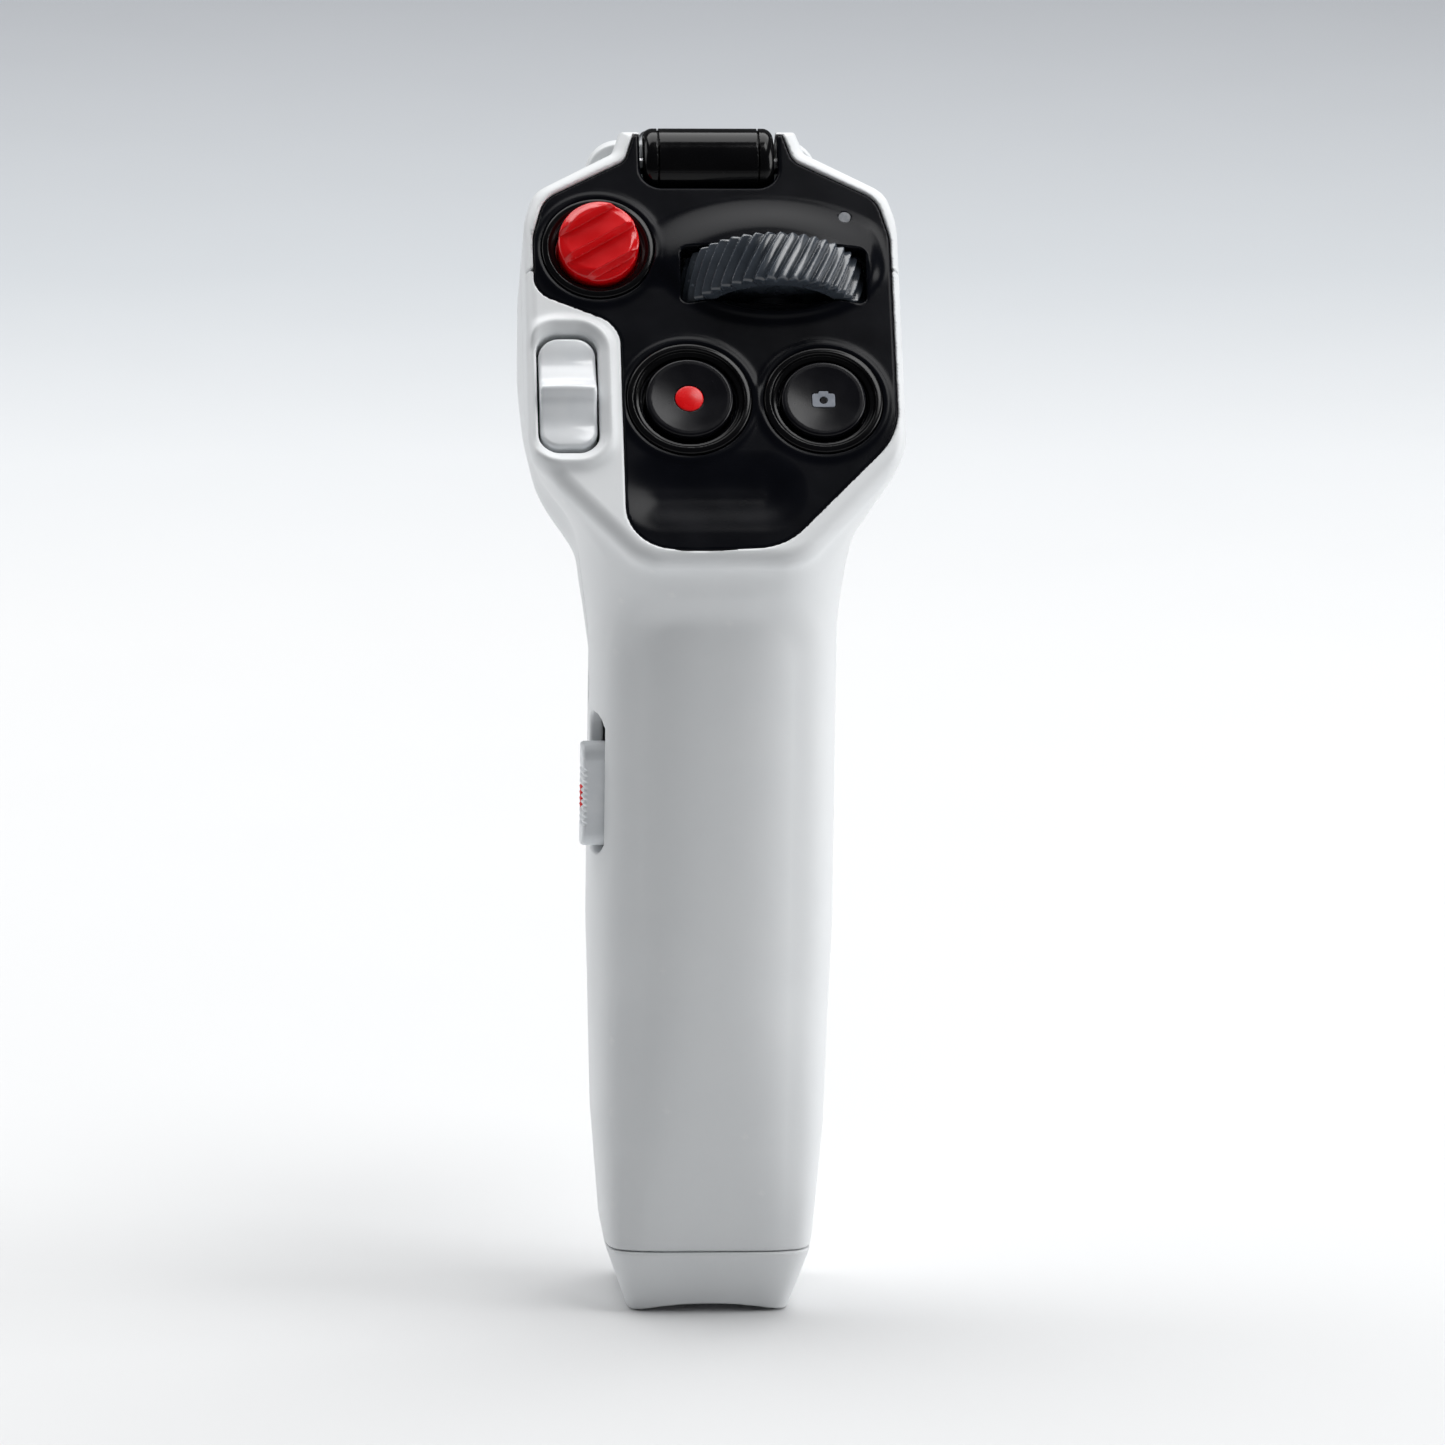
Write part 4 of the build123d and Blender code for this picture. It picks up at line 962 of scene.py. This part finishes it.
inner = {
    "switch_black": moulded("switch_black", (0.01, 0.01, 0.011), (0.014, 0.014, 0.015),
                            (0.02, 0.02, 0.021), (0.05, 0.05, 0.05), (0.4, 0.55), 0.15, 0.01, 3.0),
    "plunger_white": moulded("plunger_white", (0.62, 0.62, 0.6), (0.7, 0.7, 0.68), (0.76, 0.76, 0.74),
                             (0.85, 0.85, 0.83), (0.35, 0.5), 0.2, 0.005, 3.0),
    "cradle_grey": moulded("cradle_grey", (0.10, 0.105, 0.11), (0.13, 0.135, 0.14), (0.16, 0.165, 0.17),
                           (0.25, 0.25, 0.26), (0.45, 0.6), 0.3, 0.015, 6.0),
    "cell_wrap": moulded("cell_wrap", (0.02, 0.10, 0.22), (0.025, 0.12, 0.27), (0.035, 0.15, 0.32),
                         (0.1, 0.22, 0.4), (0.2, 0.35), 0.8, 0.01, 12.0),
    "steel": metal("steel", (0.50, 0.50, 0.51), (0.62, 0.62, 0.63), (0.18, 0.34), (0.1, 1, 1)),
    "shield_tin": metal("shield_tin", (0.60, 0.60, 0.58), (0.72, 0.72, 0.70), (0.25, 0.42), (1, 1, 0.2)),
    "copper_strip": metal("copper_strip", (0.70, 0.32, 0.18), (0.85, 0.45, 0.28), (0.22, 0.4), (0.2, 1, 1)),
}

board_green, tree, shader, where = blank("board_green")
weave = tree.nodes.new("ShaderNodeTexBrick")
weave.inputs["Scale"].default_value = 420.0
weave.inputs["Color1"].default_value = (0.012, 0.11, 0.05, 1)
weave.inputs["Color2"].default_value = (0.016, 0.13, 0.06, 1)
weave.inputs["Mortar"].default_value = (0.03, 0.19, 0.09, 1)
weave.inputs["Mortar Size"].default_value = 0.03
wire(tree, where, weave.inputs["Vector"])
wire(tree, weave.outputs["Color"], shader.inputs["Base Color"])
wire(tree, spread(tree, speckle(tree, where, 3.0), 0.25, 0.4), shader.inputs["Roughness"])
grain(tree, shader, weave.outputs["Fac"], 0.03, 0.4)
inner["board_green"] = board_green

lens, tree, shader, where = blank("light_lens")
wire(tree, ramp(tree, speckle(tree, where, 0.5), [(0.3, (0.20, 0.21, 0.23)), (0.7, (0.25, 0.26, 0.28))]),
     shader.inputs["Base Color"])
wire(tree, spread(tree, speckle(tree, where, 1.0), 0.2, 0.35), shader.inputs["Roughness"])
grain(tree, shader, speckle(tree, where, 0.12), 0.004, 0.5)
shader.inputs["Subsurface Weight"].default_value = 0.2
shader.inputs["Subsurface Radius"].default_value = (0.001, 0.001, 0.001)
inner["light_lens"] = lens

smoke, tree, shader, where = blank("window_smoke")
wire(tree, ramp(tree, speckle(tree, where, 1.2), [(0.3, (0.10, 0.12, 0.15)), (0.7, (0.16, 0.18, 0.22))]),
     shader.inputs["Base Color"])
wire(tree, spread(tree, speckle(tree, where, 2.0), 0.05, 0.15), shader.inputs["Roughness"])
grain(tree, shader, speckle(tree, where, 0.3), 0.002, 0.4)
shader.inputs["Transmission Weight"].default_value = 0.25
inner["window_smoke"] = smoke
inner["white_casing"] = white_plastic

replaced = {
    "base_cap", "rear_shell", "front_shell", "head_cover", "control_panel", "record_ring", "photo_ring",
    "red_ring", "record_button", "photo_button", "record_dot", "photo_icon", "red_button", "thumb_wheel",
    "zoom_rocker", "trigger", "antenna_arm", "antenna_paddle", "power_slider", "slider_mark",
}
for entry in frame["record"]["subparts"]:
    name = entry["node"]
    if name in replaced:
        continue
    part = frame["nodes"][name]
    part.data.materials.clear()
    part.data.materials.append(inner[entry["material_slot"]])
    if name != "trigger_spring":
        edge = part.modifiers.new("broken_edge", "BEVEL")
        edge.width = 0.00012
        edge.segments = 2
        edge.limit_method = "ANGLE"
        edge.angle_limit = math.radians(40)

# ---- studio ----------------------------------------------------------------------------------
# A pale sweep of paper under soft light from above and behind, with a little fill from the front. The
# paper's colour is painted darker and cooler towards the back: a painted falloff of the light, not a change
# in the paper.
# The camera stands low on the thumb side, a little to the left of square on.
floor_mesh = bpy.data.meshes.new("sweep")
floor_mesh.from_pydata([(-4, -4, 0), (4, -4, 0), (4, 5, 0), (-4, 5, 0)], [], [(0, 1, 2, 3)])
floor = bpy.data.objects.new("sweep", floor_mesh)
bpy.context.scene.collection.objects.link(floor)
paper, tree, shader, where = blank("paper_sweep_painted_falloff")
parts = tree.nodes.new("ShaderNodeSeparateXYZ")
wire(tree, where, parts.inputs["Vector"])
# painted falloff: the paper's colour darkens and cools with distance behind the object, standing in for the
# light fading towards the back
distance = spread(tree, parts.outputs["Y"], 0.0, 1.0, 0.45, 1.25)
wire(tree, ramp(tree, distance, [(0.0, (0.71, 0.715, 0.72)), (0.22, (0.68, 0.695, 0.71)),
                                 (0.48, (0.58, 0.605, 0.63)), (0.95, (0.53, 0.55, 0.58))]),
     shader.inputs["Base Color"])
wire(tree, spread(tree, speckle(tree, where, 40.0), 0.75, 0.85), shader.inputs["Roughness"])
grain(tree, shader, speckle(tree, where, 0.5), 0.01, 0.1)
shader.inputs["Specular IOR Level"].default_value = 0.1
floor_mesh.materials.append(paper)


def soft_box(name, at, aim, size, power):
    """A square of soft light that faces its aim; sizes in metres, power in watts."""
    lamp = bpy.data.lights.new(name, "AREA")
    lamp.shape = "RECTANGLE"
    lamp.size, lamp.size_y = size
    lamp.energy = power
    holder = bpy.data.objects.new(name, lamp)
    holder.location = at
    holder.rotation_euler = (Vector(aim) - Vector(at)).to_track_quat("-Z", "Y").to_euler()
    bpy.context.scene.collection.objects.link(holder)


soft_box("overhead", (0.0, 0.6, 1.5), (0, 0.2, 0), (2.2, 1.2), 31.0)
soft_box("right_side", (1.2, -0.12, 0.45), (0, 0, 0.09), (0.7, 0.7), 8.5)
soft_box("left_side", (-1.1, 0.4, 0.5), (0, 0, 0.09), (0.7, 0.7), 3.6)
soft_box("high_front", (0.45, -0.25, 1.4), (0, 0, 0.14), (0.5, 0.5), 5.5)
world = bpy.data.worlds.new("room")
world.use_nodes = True
world.node_tree.nodes["Background"].inputs["Color"].default_value = (0.93, 0.96, 1.0, 1)
world.node_tree.nodes["Background"].inputs["Strength"].default_value = 0.08
bpy.context.scene.world = world
bpy.context.scene.view_settings.view_transform = "Standard"

camera_data = bpy.data.cameras.new("view")
camera = bpy.data.objects.new("view", camera_data)
bpy.context.scene.collection.objects.link(camera)
lift, swing, roll = math.radians(13.0), math.radians(-4.0), math.radians(0.8)
away, view_width = 1.6, 1.445 / 6.7
centre = Vector((0.0017, 0.0, 0.0880))
back = Vector((math.sin(swing) * math.cos(lift), -math.cos(swing) * math.cos(lift), math.sin(lift)))
camera.location = centre + back * away
turn = (-back).to_track_quat("-Z", "Y").to_matrix().to_4x4()
camera.matrix_world = Matrix.Translation(camera.location) @ turn @ Matrix.Rotation(roll, 4, "Z")
camera_data.sensor_width = 36.0
camera_data.lens = camera_data.sensor_width * away / view_width
camera_data.clip_end = 20.0
bpy.context.scene.camera = camera
